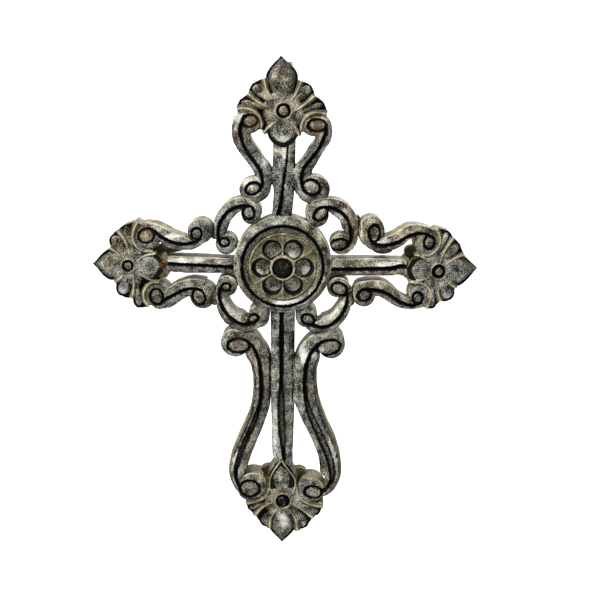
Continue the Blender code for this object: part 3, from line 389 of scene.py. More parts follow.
# cream step lines where one scroll is cut lower than the next
STEP_LINE_HALF = 0.55
STEP_LINES = [[(-17.5, 53.5), (-15, 51.6), (-12.8, 48.3)], [(13.5, 51), (15.6, 53), (18.3, 54)],
              [(-25.5, 41), (-21, 39.6), (-17, 36.8)], [(16, 36.5), (20, 38.8), (28, 40.2)],
              [(-41, -16), (-41.6, -21), (-41, -26)], [(42.5, -13), (43, -19), (42.5, -25.5)],
              [(47, 17), (47.4, 22), (47, 26.5)], [(-34, -39.5), (-28, -41.2), (-22, -42)],
              [(21, -44), (26, -43), (32, -41)], [(-70, -14.5), (-71.6, -18), (-72.5, -21.5)],
              [(-24, -31.5), (-22, -34), (-20.5, -36.5)], [(21, -33), (19.4, -34.6), (18.5, -36.5)],
              [(74, 2), (74.4, -2), (74, -6.5)], [(-5.4, 69.4), (-2.2, 67.2), (1.5, 66.4), (5.2, 67)]]

# black lines along the edges of the lower bar, where the lyre joins it
DARK_LINE_HALF = 0.45
DARK_LINES = [[(6.2, -42), (5.9, -60), (6, -75), (5.6, -88)],
              [(-8.6, -44), (-8.3, -60), (-8.6, -75), (-8.8, -86)]]


def curve(points, steps=8):
    """Points along a Catmull-Rom curve through rows of numbers, with the ends kept."""
    rows = np.array(points, float)
    before = np.vstack([2 * rows[0] - rows[1], rows[:-1]])
    after = np.vstack([rows[1:], 2 * rows[-1] - rows[-2]])
    t = np.linspace(0, 1, steps, endpoint=False)[:, None]
    runs = []
    for a, b, c, d in zip(before[:-1], rows[:-1], rows[1:], after[1:]):
        runs.append(0.5 * (2 * b + (c - a) * t + (2 * a - 5 * b + 4 * c - d) * t ** 2
                           + (3 * b - a - 3 * c + d) * t ** 3))
    return np.vstack(runs + [rows[-1:]])


def smoothstep(value, low, high):
    share = np.clip((value - low) / (high - low), 0, 1)
    return share * share * (3 - 2 * share)


def blend_low(a, b, round_off):
    """The lower of two fields, with the corner between them rounded off."""
    share = np.clip(0.5 + 0.5 * (b - a) / round_off, 0, 1)
    return b + (a - b) * share - round_off * share * (1 - share)


def ripples(x, z, cell, seed):
    """Smooth seeded noise between -1 and 1, with hills about a cell across."""
    values = np.random.default_rng(seed).uniform(-1, 1, (256, 256))
    u, v = x / cell + 128, z / cell + 128
    i, j = np.floor(u).astype(int), np.floor(v).astype(int)
    fu, fv = smoothstep(u - i, 0, 1), smoothstep(v - j, 0, 1)
    i, j = i % 255, j % 255
    low = values[j, i] * (1 - fu) + values[j, i + 1] * fu
    high = values[j + 1, i] * (1 - fu) + values[j + 1, i + 1] * fu
    return low * (1 - fv) + high * fv


def nearest(line, x, z):
    """Distance from each point to a line, its side (1 on the left), its run past the ends, and the line's
    other columns there."""
    best = np.full(x.shape, 1e9)
    side = np.zeros(x.shape)
    past = np.zeros(x.shape)
    extra = np.zeros(x.shape + (line.shape[1] - 2,))
    last = len(line) - 2
    for index, (a, b) in enumerate(zip(line[:-1], line[1:])):
        dx, dz = b[0] - a[0], b[1] - a[1]
        length = math.hypot(dx, dz)
        raw = ((x - a[0]) * dx + (z - a[1]) * dz) / length ** 2
        t = np.clip(raw, 0, 1)
        distance = np.hypot(x - a[0] - t * dx, z - a[1] - t * dz)
        closer = distance < best
        over = np.zeros(x.shape)
        if index == 0:
            over = np.maximum(-raw, 0) * length
        if index == last:
            over = np.maximum(over, (raw - 1) * length)
        best = np.where(closer, distance, best)
        side = np.where(closer, np.sign(dx * (z - a[1]) - dz * (x - a[0])), side)
        past = np.where(closer, over, past)
        extra = np.where(closer[..., None], a[2:] + t[..., None] * (b[2:] - a[2:]), extra)
    return best, side, past, extra


def depth_inside(outline, x, z):
    """Distance from each point to a closed outline, positive inside it."""
    ring = np.array(outline, float)
    best = np.full(x.shape, 1e9)
    inside = np.zeros(x.shape, bool)
    for a, b in zip(ring, np.roll(ring, -1, axis=0)):
        dx, dz = b - a
        t = np.clip(((x - a[0]) * dx + (z - a[1]) * dz) / max(dx * dx + dz * dz, 1e-12), 0, 1)
        best = np.minimum(best, np.hypot(x - a[0] - t * dx, z - a[1] - t * dz))
        if dz:
            crossing = ((a[1] > z) != (b[1] > z)) & (x < a[0] + (z - a[1]) / dz * dx)
            inside ^= crossing
    return np.where(inside, best, -best)


def ellipse(x, z, half_width, half_height, tilt=0.0, sides=40):
    angles = np.linspace(0, 2 * math.pi, sides, endpoint=False)
    turn = math.radians(tilt)
    u, v = half_width * np.cos(angles), half_height * np.sin(angles)
    return np.column_stack([x + u * math.cos(turn) - v * math.sin(turn),
                            z + u * math.sin(turn) + v * math.cos(turn)])


class Sheet:
    """The board as fields over a grid: how far inside the outline, how high, and where each paint lies.

    A paint's field is its depth in millimetres inside the painted patch, negative outside it."""

    PAINTS = ("black", "cream", "olive", "stain", "dim", "pale", "wall")

    def __init__(self, low, high):
        self.low = np.array(low, float)
        self.x, self.z = np.meshgrid(np.arange(low[0], high[0], GRID), np.arange(low[1], high[1], GRID))
        self.inside = np.full(self.x.shape, -MARGIN)
        self.level = np.full(self.x.shape, EDGE)
        self.owner = np.zeros(self.x.shape, int)
        self.owners = 0
        self.paint = {name: np.full(self.x.shape, -MARGIN) for name in self.PAINTS}

    def window(self, points, reach):
        """The part of the grid round some points."""
        low = (np.min(points, axis=0)[:2] - reach - self.low) / GRID
        high = (np.max(points, axis=0)[:2] + reach - self.low) / GRID
        low, high = np.maximum(low.astype(int), 0), np.maximum(high.astype(int) + 1, 0)
        return slice(low[1], high[1]), slice(low[0], high[0])

    def around(self, outline, reach=MARGIN):
        """The part of the grid round an outline, and how far inside the outline each point of it is."""
        where = self.window(outline, reach)
        return where, depth_inside(outline, self.x[where], self.z[where])

    def new_owner(self):
        self.owners += 1
        return self.owners

    def lay(self, where, inside, level, owner, **paint):
        """Adds a shape: the highest wood shows, and outside the board the nearest shape's."""
        mine = self.level[where] + 100 * np.minimum(self.inside[where], 0)
        on = level + 100 * np.minimum(inside, 0) > mine
        self.level[where] = np.where(on, level, self.level[where])
        self.owner[where] = np.where(on, owner, self.owner[where])
        for name, field in self.paint.items():
            field[where] = np.where(on, paint.get(name, -MARGIN), field[where])
        self.inside[where] = np.maximum(self.inside[where], inside)

    def cut(self, where, within, level, black, owner):
        """Cuts a shape of this owner down to a level, where within is positive, and paints it black."""
        mine = self.owner[where] == owner
        cut = np.minimum(self.level[where], level)
        self.level[where] = np.where((within > 0) & mine, cut, self.level[where])
        self.brush("black", where, black, mine)

    def brush(self, name, where, depth, mine=True):
        """Adds a patch to one paint, within a mask."""
        field = self.paint[name]
        field[where] = np.where(mine, np.maximum(field[where], depth), field[where])

    def remake(self, where, mine, level, **paint):
        """Replaces the level and some paints within a mask."""
        self.level[where] = np.where(mine, level, self.level[where])
        for name, depth in paint.items():
            self.paint[name][where] = np.where(mine, depth, self.paint[name][where])


def band(sheet, spine, lift, owner, groove_half, slants=(0.0, 0.0)):
    """A limb along a spine: a facet on each side of a groove, and bare slanting sides where they show."""
    rows = np.column_stack([np.array(spine, float), groove_half])
    line = curve(rows)
    where = sheet.window(line, line[:, 2:4].max() + MARGIN)
    x, z = sheet.x[where], sheet.z[where]
    distance, side, past, extra = nearest(line, x, z)
    width = np.where(side > 0, extra[..., 0], extra[..., 1])
    inside = np.where(past > 0, np.minimum(-past, width - distance), width - distance)
    half = extra[..., 2]
    slant = np.where(side > 0, slants[0], slants[1])
    arris = width - slant - distance
    rise = np.clip(arris / np.maximum(width - slant - half, 1.0), 0, 1) ** FACET_POWER
    fall = np.clip(-arris / np.maximum(slant, 0.1), 0, 1)
    arris_line = np.where(slant > 0, ARRIS_LINE - np.abs(arris - 0.2), -MARGIN)
    sheet.lay(where, inside, EDGE + lift + (CREST - EDGE) * rise - SLANT_DROP * fall, owner,
              olive=np.where(slant > 0, -arris, -MARGIN), black=arris_line)
    return where, distance, past, half


def groove(sheet, found, lift, owner):
    """The V groove of a band, or a channel with a rough floor where it is wide."""
    where, distance, past, half = found
    within = np.where(past > 0, half - np.hypot(distance, past), half - distance)
    depth = GROOVE_DEPTH * np.clip(within / np.minimum(half, CHANNEL_SLOPE), 0, 1)
    wide = CHANNEL_LINE - np.abs(within - CHANNEL_INSET)
    black = np.where(half < CHANNEL_HALF, within + 0.15, wide)
    sheet.cut(where, within, CREST + lift - depth, black, owner)
    floor = np.where(half < CHANNEL_HALF, -MARGIN, within - CHANNEL_INSET)
    sheet.brush("dim", where, floor, sheet.owner[where] == owner)


def disc(sheet, shape, lift, owner):
    """The round end of a scroll."""
    where, inside = sheet.around(ellipse(*shape))
    rise = np.clip(inside / DISC_BEVEL, 0, 1) ** FACET_POWER
    sheet.lay(where, inside, EDGE + lift + (CREST - EDGE) * rise, owner)


def eye(sheet, shape, lift, owner):
    """The moat round the eye of a scroll, and the eye's low dome."""
    where, inside = sheet.around(ellipse(*shape), MARGIN + 1)
    off = np.abs(-inside - MOAT_HALF)
    depth = MOAT_DEPTH * np.clip(1 - off / MOAT_HALF, 0, 1)
    sheet.cut(where, MOAT_HALF - off, CREST + lift - depth, MOAT_HALF + 0.05 - off, owner)
    dome = CREST + lift - EYE_DROP + EYE_RISE * np.clip(inside / 1.6, 0, 1) ** 0.6
    mine = (sheet.owner[where] == owner) & (inside > 0)
    sheet.remake(where, mine, dome, black=-inside, dim=-inside)


def scroll(sheet, name, shape):
    lift = LIFTS.get(name.split("_")[0], 0.0)
    owner = sheet.new_owner()
    half = LYRE_GROOVES.get(name, [GROOVE_HALF] * len(shape["spine"]))
    for outline in shape["discs"]:
        disc(sheet, outline, lift, owner)
    found = band(sheet, shape["spine"], lift, owner, half, SLANTS.get(name, (0.0, 0.0)))
    groove(sheet, found, lift, owner)
    for outline in shape["eyes"]:
        eye(sheet, outline, lift, owner)


def leaf(sheet, shape, owner, main, over_bar, set_back, tip_border):
    """A leaf with a domed face and a black border.

    The border is low, but for a leaf that ends over a bar. It is set back where ribs cover the leaf's edge.
    """
    base_x, base_z, tip_x, tip_z, width, widest, tip_power = shape
    angles = np.linspace(0, math.pi / 2, 18)
    near = 1 - np.cos(angles)
    far = np.sin(angles[1:])
    along = np.concatenate([widest * near, widest + (1 - widest) * far])
    across = np.concatenate([np.sin(math.pi / 2 * near) ** OGIVE,
                             np.maximum(np.cos(math.pi / 2 * far), 0) ** tip_power])
    base, axis = np.array([base_x, base_z]), np.array([tip_x - base_x, tip_z - base_z])
    hand = np.array([-axis[1], axis[0]]) / math.hypot(*axis) * width / 2
    left = base + along[:, None] * axis + across[:, None] * hand
    right = base + along[1:-1, None] * axis - across[1:-1, None] * hand
    outline = np.vstack([left, right[::-1]])
    where = sheet.window(outline, MARGIN)
    x, z = sheet.x[where], sheet.z[where]
    inside = depth_inside(outline, x, z)
    run = ((x - base_x) * axis[0] + (z - base_z) * axis[1]) / math.hypot(*axis)
    bordered = smoothstep(run, 1.5, 6.0)
    face = LEAF_LEVEL + 0.7 * np.clip((inside - 2) / 4, 0, 1)
    bevel = LEAF_BEVEL if main else SIDE_LEAF_BEVEL
    border = np.interp(inside, [-1, 0, 0.4, 1.2, bevel], [EDGE, EDGE, EDGE - 0.5, FIELD, LEAF_LEVEL])
    level = np.where(inside < bevel, border * bordered + LEAF_LEVEL * (1 - bordered), face)
    dim = np.full(x.shape, -MARGIN)
    if over_bar:
        level = np.maximum(level, CREST - OVER_BAR_DROP)
    if set_back:
        black = set_back + 0.9 - inside
    elif main:
        line = LEAF_BORDER + (tip_border - LEAF_BORDER) * smoothstep(run / math.hypot(*axis), 0.55, 0.9)
        black = line - np.abs(inside - line)
        dim = np.minimum(1.2 - np.abs(inside - 2.0), run - 7)
    else:
        black = SIDE_LEAF_BORDER - inside
    sheet.lay(where, inside, level, owner, black=np.minimum(black, run - 4), dim=dim)


def rib(sheet, points, owner, half_width, outer):
    """A raised cream rib with olive flanks, of another width at its outer end."""
    line = curve(points)
    taper = np.linspace(0.7, outer, len(line))
    line = np.column_stack([line, taper * half_width])
    where = sheet.window(line, 2 * RIB_HALF + MARGIN)
    distance, _, past, extra = nearest(line, sheet.x[where], sheet.z[where])
    half = extra[..., 0]
    reach = np.hypot(distance, past)
    inside = np.where(past > 0, np.minimum(half - distance, -past), half - distance)
    round_top = np.sqrt(np.clip(1 - (distance / half) ** 2, 0, 1))
    level = FIELD - 0.4 + (RIB_TOP - FIELD + 0.4) * round_top
    cream = 0.25 + half * 0.1 - reach
    sheet.lay(where, inside, level, owner, cream=cream, olive=half * 0.95 - reach, black=reach - half * 0.93)


def scallop(start, top, end, steps=6):
    """The edge of a fan between two ribs, bulging out over a leaf's tip."""
    start, top, end = (np.array(point, float) for point in (start, top, end))
    bulge = (top - (start + end) / 2) * SCALLOP
    shares = np.linspace(0, 1, steps, endpoint=False)
    return [start + (end - start) * t + bulge * 4 * t * (1 - t) for t in shares]


def palmette(sheet, shape, dark):
    """A fan of leaves and ribs round a button, which may be left black."""
    ribs = shape["ribs"]
    leaves = shape["leaves"]
    outline = []
    for first, leaf_number, second in ((4, 4, 2), (2, 2, 0)):
        outline += scallop(ribs[first][-1], leaves[leaf_number][2:4], ribs[second][-1])
    outline.append(ribs[0][-1])
    for first, leaf_number, second in ((1, 3, 3), (3, 5, 5)):
        outline += scallop(ribs[first][-1], leaves[leaf_number][2:4], ribs[second][-1])
    outline += [ribs[5][-1], ribs[5][0], ribs[4][0]]
    owner = sheet.new_owner()
    where = sheet.window(outline, MARGIN)
    x, z = sheet.x[where], sheet.z[where]
    button_x, button_z, button, moat, ring = shape["button"]
    off = np.hypot(x - button_x, z - button_z)
    inside = depth_inside(outline, x, z)
    core = smoothstep(off, FAN_CORE, FAN_CORE - 3)
    sheet.lay(where, inside, FIELD + (CREST - 0.5 - FIELD) * core, owner, black=off - FAN_CORE + 1)
    for index, leaf_shape in enumerate(leaves):
        outlined = index == 1 and dark
        leaf(sheet, leaf_shape, owner, index < 2, index == 1, RIB_HALF + 1.0 if outlined else 0.0,
             TIP_BORDERS[index % 2])
    for index, points in enumerate(ribs):
        outer = FLARED
        if index > max(WRAPS):
            outer = SLIM if dark else EVEN
        rib(sheet, points, owner, WRAP_HALF if index in WRAPS else RIB_HALF, outer)
    middle = np.array([[button_x, button_z]])
    where = sheet.window(middle, ring + MARGIN)
    off = np.hypot(sheet.x[where] - button_x, sheet.z[where] - button_z)
    profile = [(0, CREST + 0.4), (button - 0.3, CREST - 0.1), (button + 0.1, CREST - 1.0),
               ((button + moat) / 2, FIELD - 0.8), (moat, CREST - 0.6), (moat + 0.5, CREST + 0.3),
               (ring, CREST - 0.2), (ring + 0.5, FIELD)]
    top = np.interp(off, *zip(*profile))
    button_owner = sheet.new_owner()
    sheet.lay(where, ring - off, np.where(off < ring, top + ABOVE_LEAVES, FIELD), button_owner)
    black = (moat - button) / 2 + 0.25 - np.abs(off - (moat + button) / 2)
    if dark:
        black = np.maximum(black, np.minimum(moat - off, 0.1 + 0.08 * off))
    cream = 0.3 - np.abs(off - (moat + 0.8))
    olive = 0.9 - np.abs(off - (moat + 0.9))
    sheet.remake(where, sheet.owner[where] == button_owner, top, black=black, cream=cream, olive=olive)


def rosette(sheet):
    """The boss in the middle: a sloping rim, a black groove, a dished ring, six cups and a black hub."""
    owner = sheet.new_owner()
    where = sheet.window(np.zeros((1, 2)), ROSETTE_RADIUS + MARGIN)
    x, z = sheet.x[where], sheet.z[where]
    outer = np.hypot(x, z)
    radius = np.hypot(x, z - RING_Z)
    cup_radius = np.hypot(x, z - CUPS_Z)
    hub = np.hypot(x, z - HUB_Z)
    level = np.interp(radius, *zip(*ROSETTE_PROFILE))
    sector = math.pi / 3
    angle = np.arctan2(z - CUPS_Z, x)
    off_middle = np.abs((angle + sector / 2) % sector - sector / 2)
    to_spoke = cup_radius * np.sin(sector / 2 - off_middle)
    along = cup_radius * np.cos(off_middle)
    across = cup_radius * np.sin(off_middle)
    cup_round = CUP_RADIUS - np.hypot(np.maximum(along - CUP_MIDDLE, 0), across)
    cup = blend_low(blend_low(to_spoke - 0.75, cup_round, 1.0), cup_radius - 8.0, 1.6)
    web = np.minimum(-cup, np.minimum(DISH_RADIUS - radius, hub - 6.4))
    level = level + 0.6 * np.clip(1 - np.abs(to_spoke) / 1.1, 0, 1) * (web > 0)
    level = level - CUP_DEPTH * smoothstep(cup, 0.0, 1.3)
    hub_top = np.interp(hub, *zip(*HUB_PROFILE))
    level = np.where(hub < 7.6, np.maximum(hub_top, np.where(hub < 6.4, 0, level)), level)
    outer_share = smoothstep(cup_radius, 10.5, 18)
    black = np.minimum(cup + 0.3, 0.6 + 1.7 * outer_share - cup)
    black = np.maximum(black, 1.05 - np.abs(radius - RIM_GROOVE_RADIUS))
    black = np.maximum(black, np.minimum(6.1 - hub, 0.02 + 0.12 * hub))
    cream = np.maximum(0.22 - np.abs(radius - 19.9), 0.28 - np.abs(hub - 6.8))
    cream = np.maximum(cream, np.where(web > 0, 0.24 - np.abs(to_spoke), -MARGIN))
    cream = np.maximum(cream, np.where(web > 0, 0.16 - np.abs(cup + 0.6), -MARGIN))
    cream = np.maximum(cream, 0.35 - np.abs(outer - 29.2))
    olive = np.maximum(web, 0.9 - np.abs(radius - 20.3))
    olive = np.maximum(olive, 1.0 - np.abs(hub - 7.0))
    on_top = np.maximum(level, np.where(outer < ROSETTE_RADIUS, ABOVE_ALL, 0))
    sheet.lay(where, ROSETTE_RADIUS - outer, on_top, owner)
    # painted shade: a darker speckled band on the dish, fading out towards the bottom, where the dish faces
    # up to the light
    dim = np.minimum(24.0 - radius, radius - 21.6) - 1.2 * smoothstep(-z, 6, 16)
    sheet.remake(where, sheet.owner[where] == owner, level, black=black, cream=cream, olive=olive, dim=dim)


def drawn_lines(sheet, lines, name, half):
    """Thin lines in one paint."""
    for points in lines:
        line = curve(points)
        where = sheet.window(line, 1.5)
        distance, _, past, _ = nearest(np.column_stack([line, line[:, 0]]), sheet.x[where], sheet.z[where])
        sheet.brush(name, where, half - np.hypot(distance, past))


def edge_highlight_and_shade(sheet):
    """Cream along the edges that face up, as a painted highlight, and black along those that face down, as
    painted shade.
    """
    up, _ = np.gradient(sheet.inside, GRID)
    patchy = 0.25 * ripples(sheet.x, sheet.z, 9.0, 21)
    # cream on the edges that face up is a painted highlight, black on those that face down is painted shade
    for name, facing, width in (("cream", -up - 0.3, 0.4), ("black", up + 0.4, 0.5)):
        line = (width + patchy) * smoothstep(facing, 0.0, 0.5) - sheet.inside
        sheet.brush(name, ..., np.where(facing > 0, line, -MARGIN))


def stains(sheet):
    for x, z, radius, strength in STAINS:
        where = sheet.window(np.array([[x, z]]), radius + 2)
        off = np.hypot(sheet.x[where] - x, sheet.z[where] - z)
        sheet.brush("stain", where, strength * (radius - off))


# pale paint laid as painted highlights where faces turn up to the light, and partly as wear
def highlight_and_wear_patches(sheet):
    for x, z, half_width, half_height, tilt in PALE_HIGHLIGHTS_AND_WEAR:
        where = sheet.window(np.array([[x, z]]), max(half_width, half_height) + 1)
        turn = math.radians(tilt)
        dx, dz = sheet.x[where] - x, sheet.z[where] - z
        u = (dx * math.cos(turn) + dz * math.sin(turn)) / half_width
        v = (dz * math.cos(turn) - dx * math.sin(turn)) / half_height
        sheet.brush("pale", where, 1.5 * (1 - np.hypot(u, v)))


def corners(sheet):
    """The low olive wood in the corners between limbs, and the collars of the side bars."""
    low = [(shape, CORNER_LEVEL) for shape in CORNERS]
    for shape, level in low + [(shape, FIELD) for shape in COLLARS]:
        where, inside = sheet.around(ellipse(*shape))
        sheet.lay(where, inside, np.full(inside.shape, level), sheet.new_owner(), wall=inside + 8)


def carve():
    """The whole board as fields."""
    sheet = Sheet(SHEET_LOW, SHEET_HIGH)
    corners(sheet)
    for name, spine in BARS.items():
        owner = sheet.new_owner()
        found = band(sheet, spine, LIFTS["bar"], owner, BAR_GROOVES[name])
        groove(sheet, found, LIFTS["bar"], owner)
    for name, shape in SCROLLS.items():
        scroll(sheet, name, shape)
    for name, shape in PALMETTES.items():
        palmette(sheet, shape, name in DARK_BUTTONS)
    rosette(sheet)
    drawn_lines(sheet, STEP_LINES, "cream", STEP_LINE_HALF)
    drawn_lines(sheet, DARK_LINES, "black", DARK_LINE_HALF)
    edge_highlight_and_shade(sheet)
    stains(sheet)
    highlight_and_wear_patches(sheet)
    worn = ((sheet.paint["black"], BLACK_WEAR), (sheet.inside, OUTLINE_WEAR), (sheet.level, TOP_WEAR))
    for field, wear in worn:
        for strength, cell, seed in wear:
            field += strength * ripples(sheet.x, sheet.z, cell, seed)
    return sheet


def crossings(inside, first, second):
    """Where the outline crosses between neighbouring grid points, and the share of the way there."""
    a, b = inside[first], inside[second]
    found = (a > 0) != (b > 0)
    return found, np.clip(a / np.where(found, a - b, 1), SNAP, 1 - SNAP)


def front_of(sheet):
    """The front as a grid trimmed at the outline: its columns by name, its faces and its border edges."""
    solid = sheet.inside > 0
    numbers = np.full(solid.shape, -1)
    total = int(solid.sum())
    numbers[solid] = np.arange(total)
    fields = {"x": sheet.x, "z": sheet.z, "level": sheet.level, **sheet.paint}
    parts = {name: [field[solid]] for name, field in fields.items()}
    everything, all_but_last, all_but_first = slice(None), slice(None, -1), slice(1, None)
    cuts = []
    for first, second in (((everything, all_but_last), (everything, all_but_first)),
                          ((all_but_last, everything), (all_but_first, everything))):
        found, share = crossings(sheet.inside, first, second)
        made = np.full(found.shape, -1)
        made[found] = np.arange(found.sum()) + total
        total += int(found.sum())
        cuts.append(made)
        for name, field in fields.items():
            parts[name].append((field[first] * (1 - share) + field[second] * share)[found])
    columns = {name: np.concatenate(pieces) for name, pieces in parts.items()}

    across, up = cuts
    count = solid[:-1, :-1].astype(int) + solid[:-1, 1:] + solid[1:, 1:] + solid[1:, :-1]
    j, i = np.nonzero(count == 4)
    corners = [numbers[j, i], numbers[j, i + 1], numbers[j + 1, i + 1], numbers[j + 1, i]]
    faces = np.column_stack(corners).tolist()
    border = []
    for j, i in zip(*np.nonzero((count > 0) & (count < 4))):
        corners = (numbers[j, i], numbers[j, i + 1], numbers[j + 1, i + 1], numbers[j + 1, i])
        sides = (across[j, i], up[j, i + 1], across[j + 1, i], up[j, i])
        loop = []
        for corner, side in zip(corners, sides):
            if corner >= 0:
                loop.append((int(corner), False))
            if side >= 0:
                loop.append((int(side), True))
        faces.append([number for number, _ in loop])
        for (a, a_cut), (b, b_cut) in zip(loop, loop[1:] + loop[:1]):
            if a_cut and b_cut:
                border.append((a, b))
    return columns, faces, border


def add_object(name, data):
    """A mesh, a light or a camera as an object in the scene."""
    made = bpy.data.objects.new(name, data)
    bpy.context.scene.collection.objects.link(made)
    return made


def smooth(mesh):
    mesh.polygons.foreach_set("use_smooth", [True] * len(mesh.polygons))


def dress(thing, material):
    """One material for a whole object."""
    thing.data.materials.clear()
    thing.data.materials.append(material)


def board_mesh(name, sheet):
    """The board: its carved front, its upright sides in two strips and its flat back."""
    columns, faces, border = front_of(sheet)
    low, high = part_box("cross")
    x = np.clip(columns["x"] * MM, low.x, high.x)
    z = np.clip(columns["z"] * MM, low.z, high.z)
    y = np.clip(-columns["level"] * MM, low.y, 0)
    total = len(x)
    rim = sorted({a for a, _ in border})
    place = {number: index for index, number in enumerate(rim)}
    points = [np.column_stack([x, y, z])]
    for ring_y in (y[rim] + ARRIS * MM, np.zeros(len(rim))):
        points.append(np.column_stack([x[rim], ring_y, z[rim]]))
    upper = {number: total + index for number, index in place.items()}
    lower = {number: total + len(rim) + index for number, index in place.items()}
    for a, b in border:
        faces.append([b, a, upper[a], upper[b]])
        faces.append([upper[b], upper[a], lower[a], lower[b]])

    mesh = bpy.data.meshes.new(name)
    mesh.from_pydata(np.vstack(points).tolist(), [], faces)
    bm = bmesh.new()
    bm.from_mesh(mesh)
    open_edges = [edge for edge in bm.edges if edge.is_boundary]
    filled = bmesh.ops.triangle_fill(bm, use_beauty=False, use_dissolve=False, edges=open_edges,
                                     normal=(0, 1, 0))
    for face in filled["geom"]:
        if isinstance(face, bmesh.types.BMFace) and face.normal.y < 0:
            face.normal_flip()
    bm.to_mesh(mesh)
    bm.free()

    walls = len(rim) * 2
    marks = {paint: np.concatenate([columns[paint], np.full(walls, -MARGIN)]) for paint in sheet.PAINTS}
    marks["side"] = np.concatenate([np.zeros(total), np.ones(walls)])
    for mark, values in marks.items():
        layer = mesh.attributes.new(mark, "FLOAT", "POINT")
        layer.data.foreach_set("value", values.astype(np.float32))
    return add_object(name, mesh)


def finished(name, bm):
    """A bmesh as an object in the scene."""
    mesh = bpy.data.meshes.new(name)
    bm.to_mesh(mesh)
    bm.free()
    return add_object(name, mesh)


def block(name, low, high):
    """A box between two corners, in metres."""
    bm = bmesh.new()
    made = bmesh.ops.create_cube(bm, size=1.0)
    size = [b - a for a, b in zip(low, high)]
    middle = [(a + b) / 2 for a, b in zip(low, high)]
    bmesh.ops.scale(bm, vec=size, verts=made["verts"])
    bmesh.ops.translate(bm, vec=middle, verts=made["verts"])
    return finished(name, bm)


def peg(name, x, z, radius, depth, sides=32):
    """A cylinder into the back."""
    bm = bmesh.new()
    angles = [2 * math.pi * step / sides for step in range(sides)]
    rings = []
    for y in (OUTSIDE, -depth * MM):
        circle = [(x + radius * math.cos(angle), z + radius * math.sin(angle)) for angle in angles]
        rings.append([bm.verts.new((across * MM, y, up * MM)) for across, up in circle])
    for ring in rings:
        bm.faces.new(ring)
    for index in range(sides):
        following = (index + 1) % sides
        bm.faces.new((rings[0][index], rings[0][following], rings[1][following], rings[1][index]))
    bmesh.ops.recalc_face_normals(bm, faces=bm.faces)
    return finished(name, bm)


def cut_back(board):
    """The recess that the hanging strip lies in, and the pocket under its hole, left as bare as the back."""
    low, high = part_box("hanger_strip")
    recess = block("recess_cutter", (low.x - FIT_GAP, low.y - FIT_GAP, low.z - FIT_GAP),
                   (high.x + FIT_GAP, OUTSIDE, high.z + FIT_GAP))
    middle = ((low.x + high.x) / 2 / MM, (low.z + high.z) / 2 / MM)
    pocket = peg("pocket_cutter", *middle, POCKET_RADIUS, POCKET_DEPTH)
    for cutter in (recess, pocket):
        modifier = board.modifiers.new(cutter.name, "BOOLEAN")
        modifier.operation = "DIFFERENCE"
        modifier.solver = "MANIFOLD"
        modifier.object = cutter
    bpy.context.view_layer.update()
    graph = bpy.context.evaluated_depsgraph_get()
    mesh = bpy.data.meshes.new_from_object(board.evaluated_get(graph))
    board.modifiers.clear()
    board.data = mesh
    for cutter in (recess, pocket):
        bpy.data.objects.remove(cutter)
    places = np.empty(len(mesh.vertices) * 3, np.float32)
    mesh.vertices.foreach_get("co", places)
    behind = places[1::3] > -BACK_ZONE * MM
    for name in (*Sheet.PAINTS, "side"):
        layer = mesh.attributes[name].data
        values = np.empty(len(behind), np.float32)
        layer.foreach_get("value", values)
        values[behind] = 1.0 if name == "side" else -MARGIN
        layer.foreach_set("value", values)


def shade(red, green, blue):
    """A display colour in 0-255 as linear light."""
    channels = []
    for value in (red, green, blue):
        share = value / 255
        channels.append(share / 12.92 if share <= 0.04045 else ((share + 0.055) / 1.055) ** 2.4)
    return (*channels, 1.0)


class Graph:
    """A material's nodes, made one at a time and fed from each other or from plain values."""

    def __init__(self, name):
        self.material = bpy.data.materials.new(name)
        self.material.use_nodes = True
        self.nodes = self.material.node_tree.nodes
        self.links = self.material.node_tree.links
        self.shader = self.nodes["Principled BSDF"]
        self.place = self.output("ShaderNodeTexCoord", "Object")

    def set(self, node, **inputs):
        for name, value in inputs.items():
            key = int(name[1:]) if name[1:].isdigit() else name.replace("_", " ")
            socket = node.inputs[key]
            if isinstance(value, bpy.types.NodeSocket):
                self.links.new(value, socket)
            else:
                socket.default_value = value

    def output(self, kind, name, settings=None, **inputs):
        node = self.nodes.new(kind)
        for key, value in (settings or {}).items():
            setattr(node, key, value)
        self.set(node, **inputs)
        return node.outputs[name]

    def math(self, operation, a, b=0.0, c=0.0):
        return self.output("ShaderNodeMath", "Value", {"operation": operation}, i0=a, i1=b, i2=c)

    def noise(self, scale, detail=3.0, roughness=0.55, stretch=None):
        place = self.place
        if stretch:
            place = self.output("ShaderNodeMapping", "Vector", i0=self.place, i3=stretch)
        return self.output("ShaderNodeTexNoise", "Fac", Vector=place, Scale=scale, Detail=detail,
                           Roughness=roughness)

    def attribute(self, name):
        return self.output("ShaderNodeAttribute", "Fac", {"attribute_name": name})

    def ramp(self, value, *stops):
        """Colours by value, each stop being (position, red, green, blue)."""
        node = self.nodes.new("ShaderNodeValToRGB")
        elements = node.color_ramp.elements
        while len(elements) < len(stops):
            elements.new(0.5)
        for element, (position, *colour) in zip(elements, stops):
            element.position = position
            element.color = shade(*colour)
        self.links.new(value, node.inputs[0])
        return node.outputs["Color"]

    def steps(self, value, low, high, start=0.0, end=1.0):
        """A smooth step from a start value to an end value."""
        return self.output("ShaderNodeMapRange", "Result", {"interpolation_type": "SMOOTHSTEP"}, Value=value,
                           From_Min=low, From_Max=high, To_Min=start, To_Max=end)

    def over(self, share, below, above):
        """One colour over another."""
        return self.output("ShaderNodeMix", "Result", {"data_type": "RGBA"}, i0=share, i6=below, i7=above)


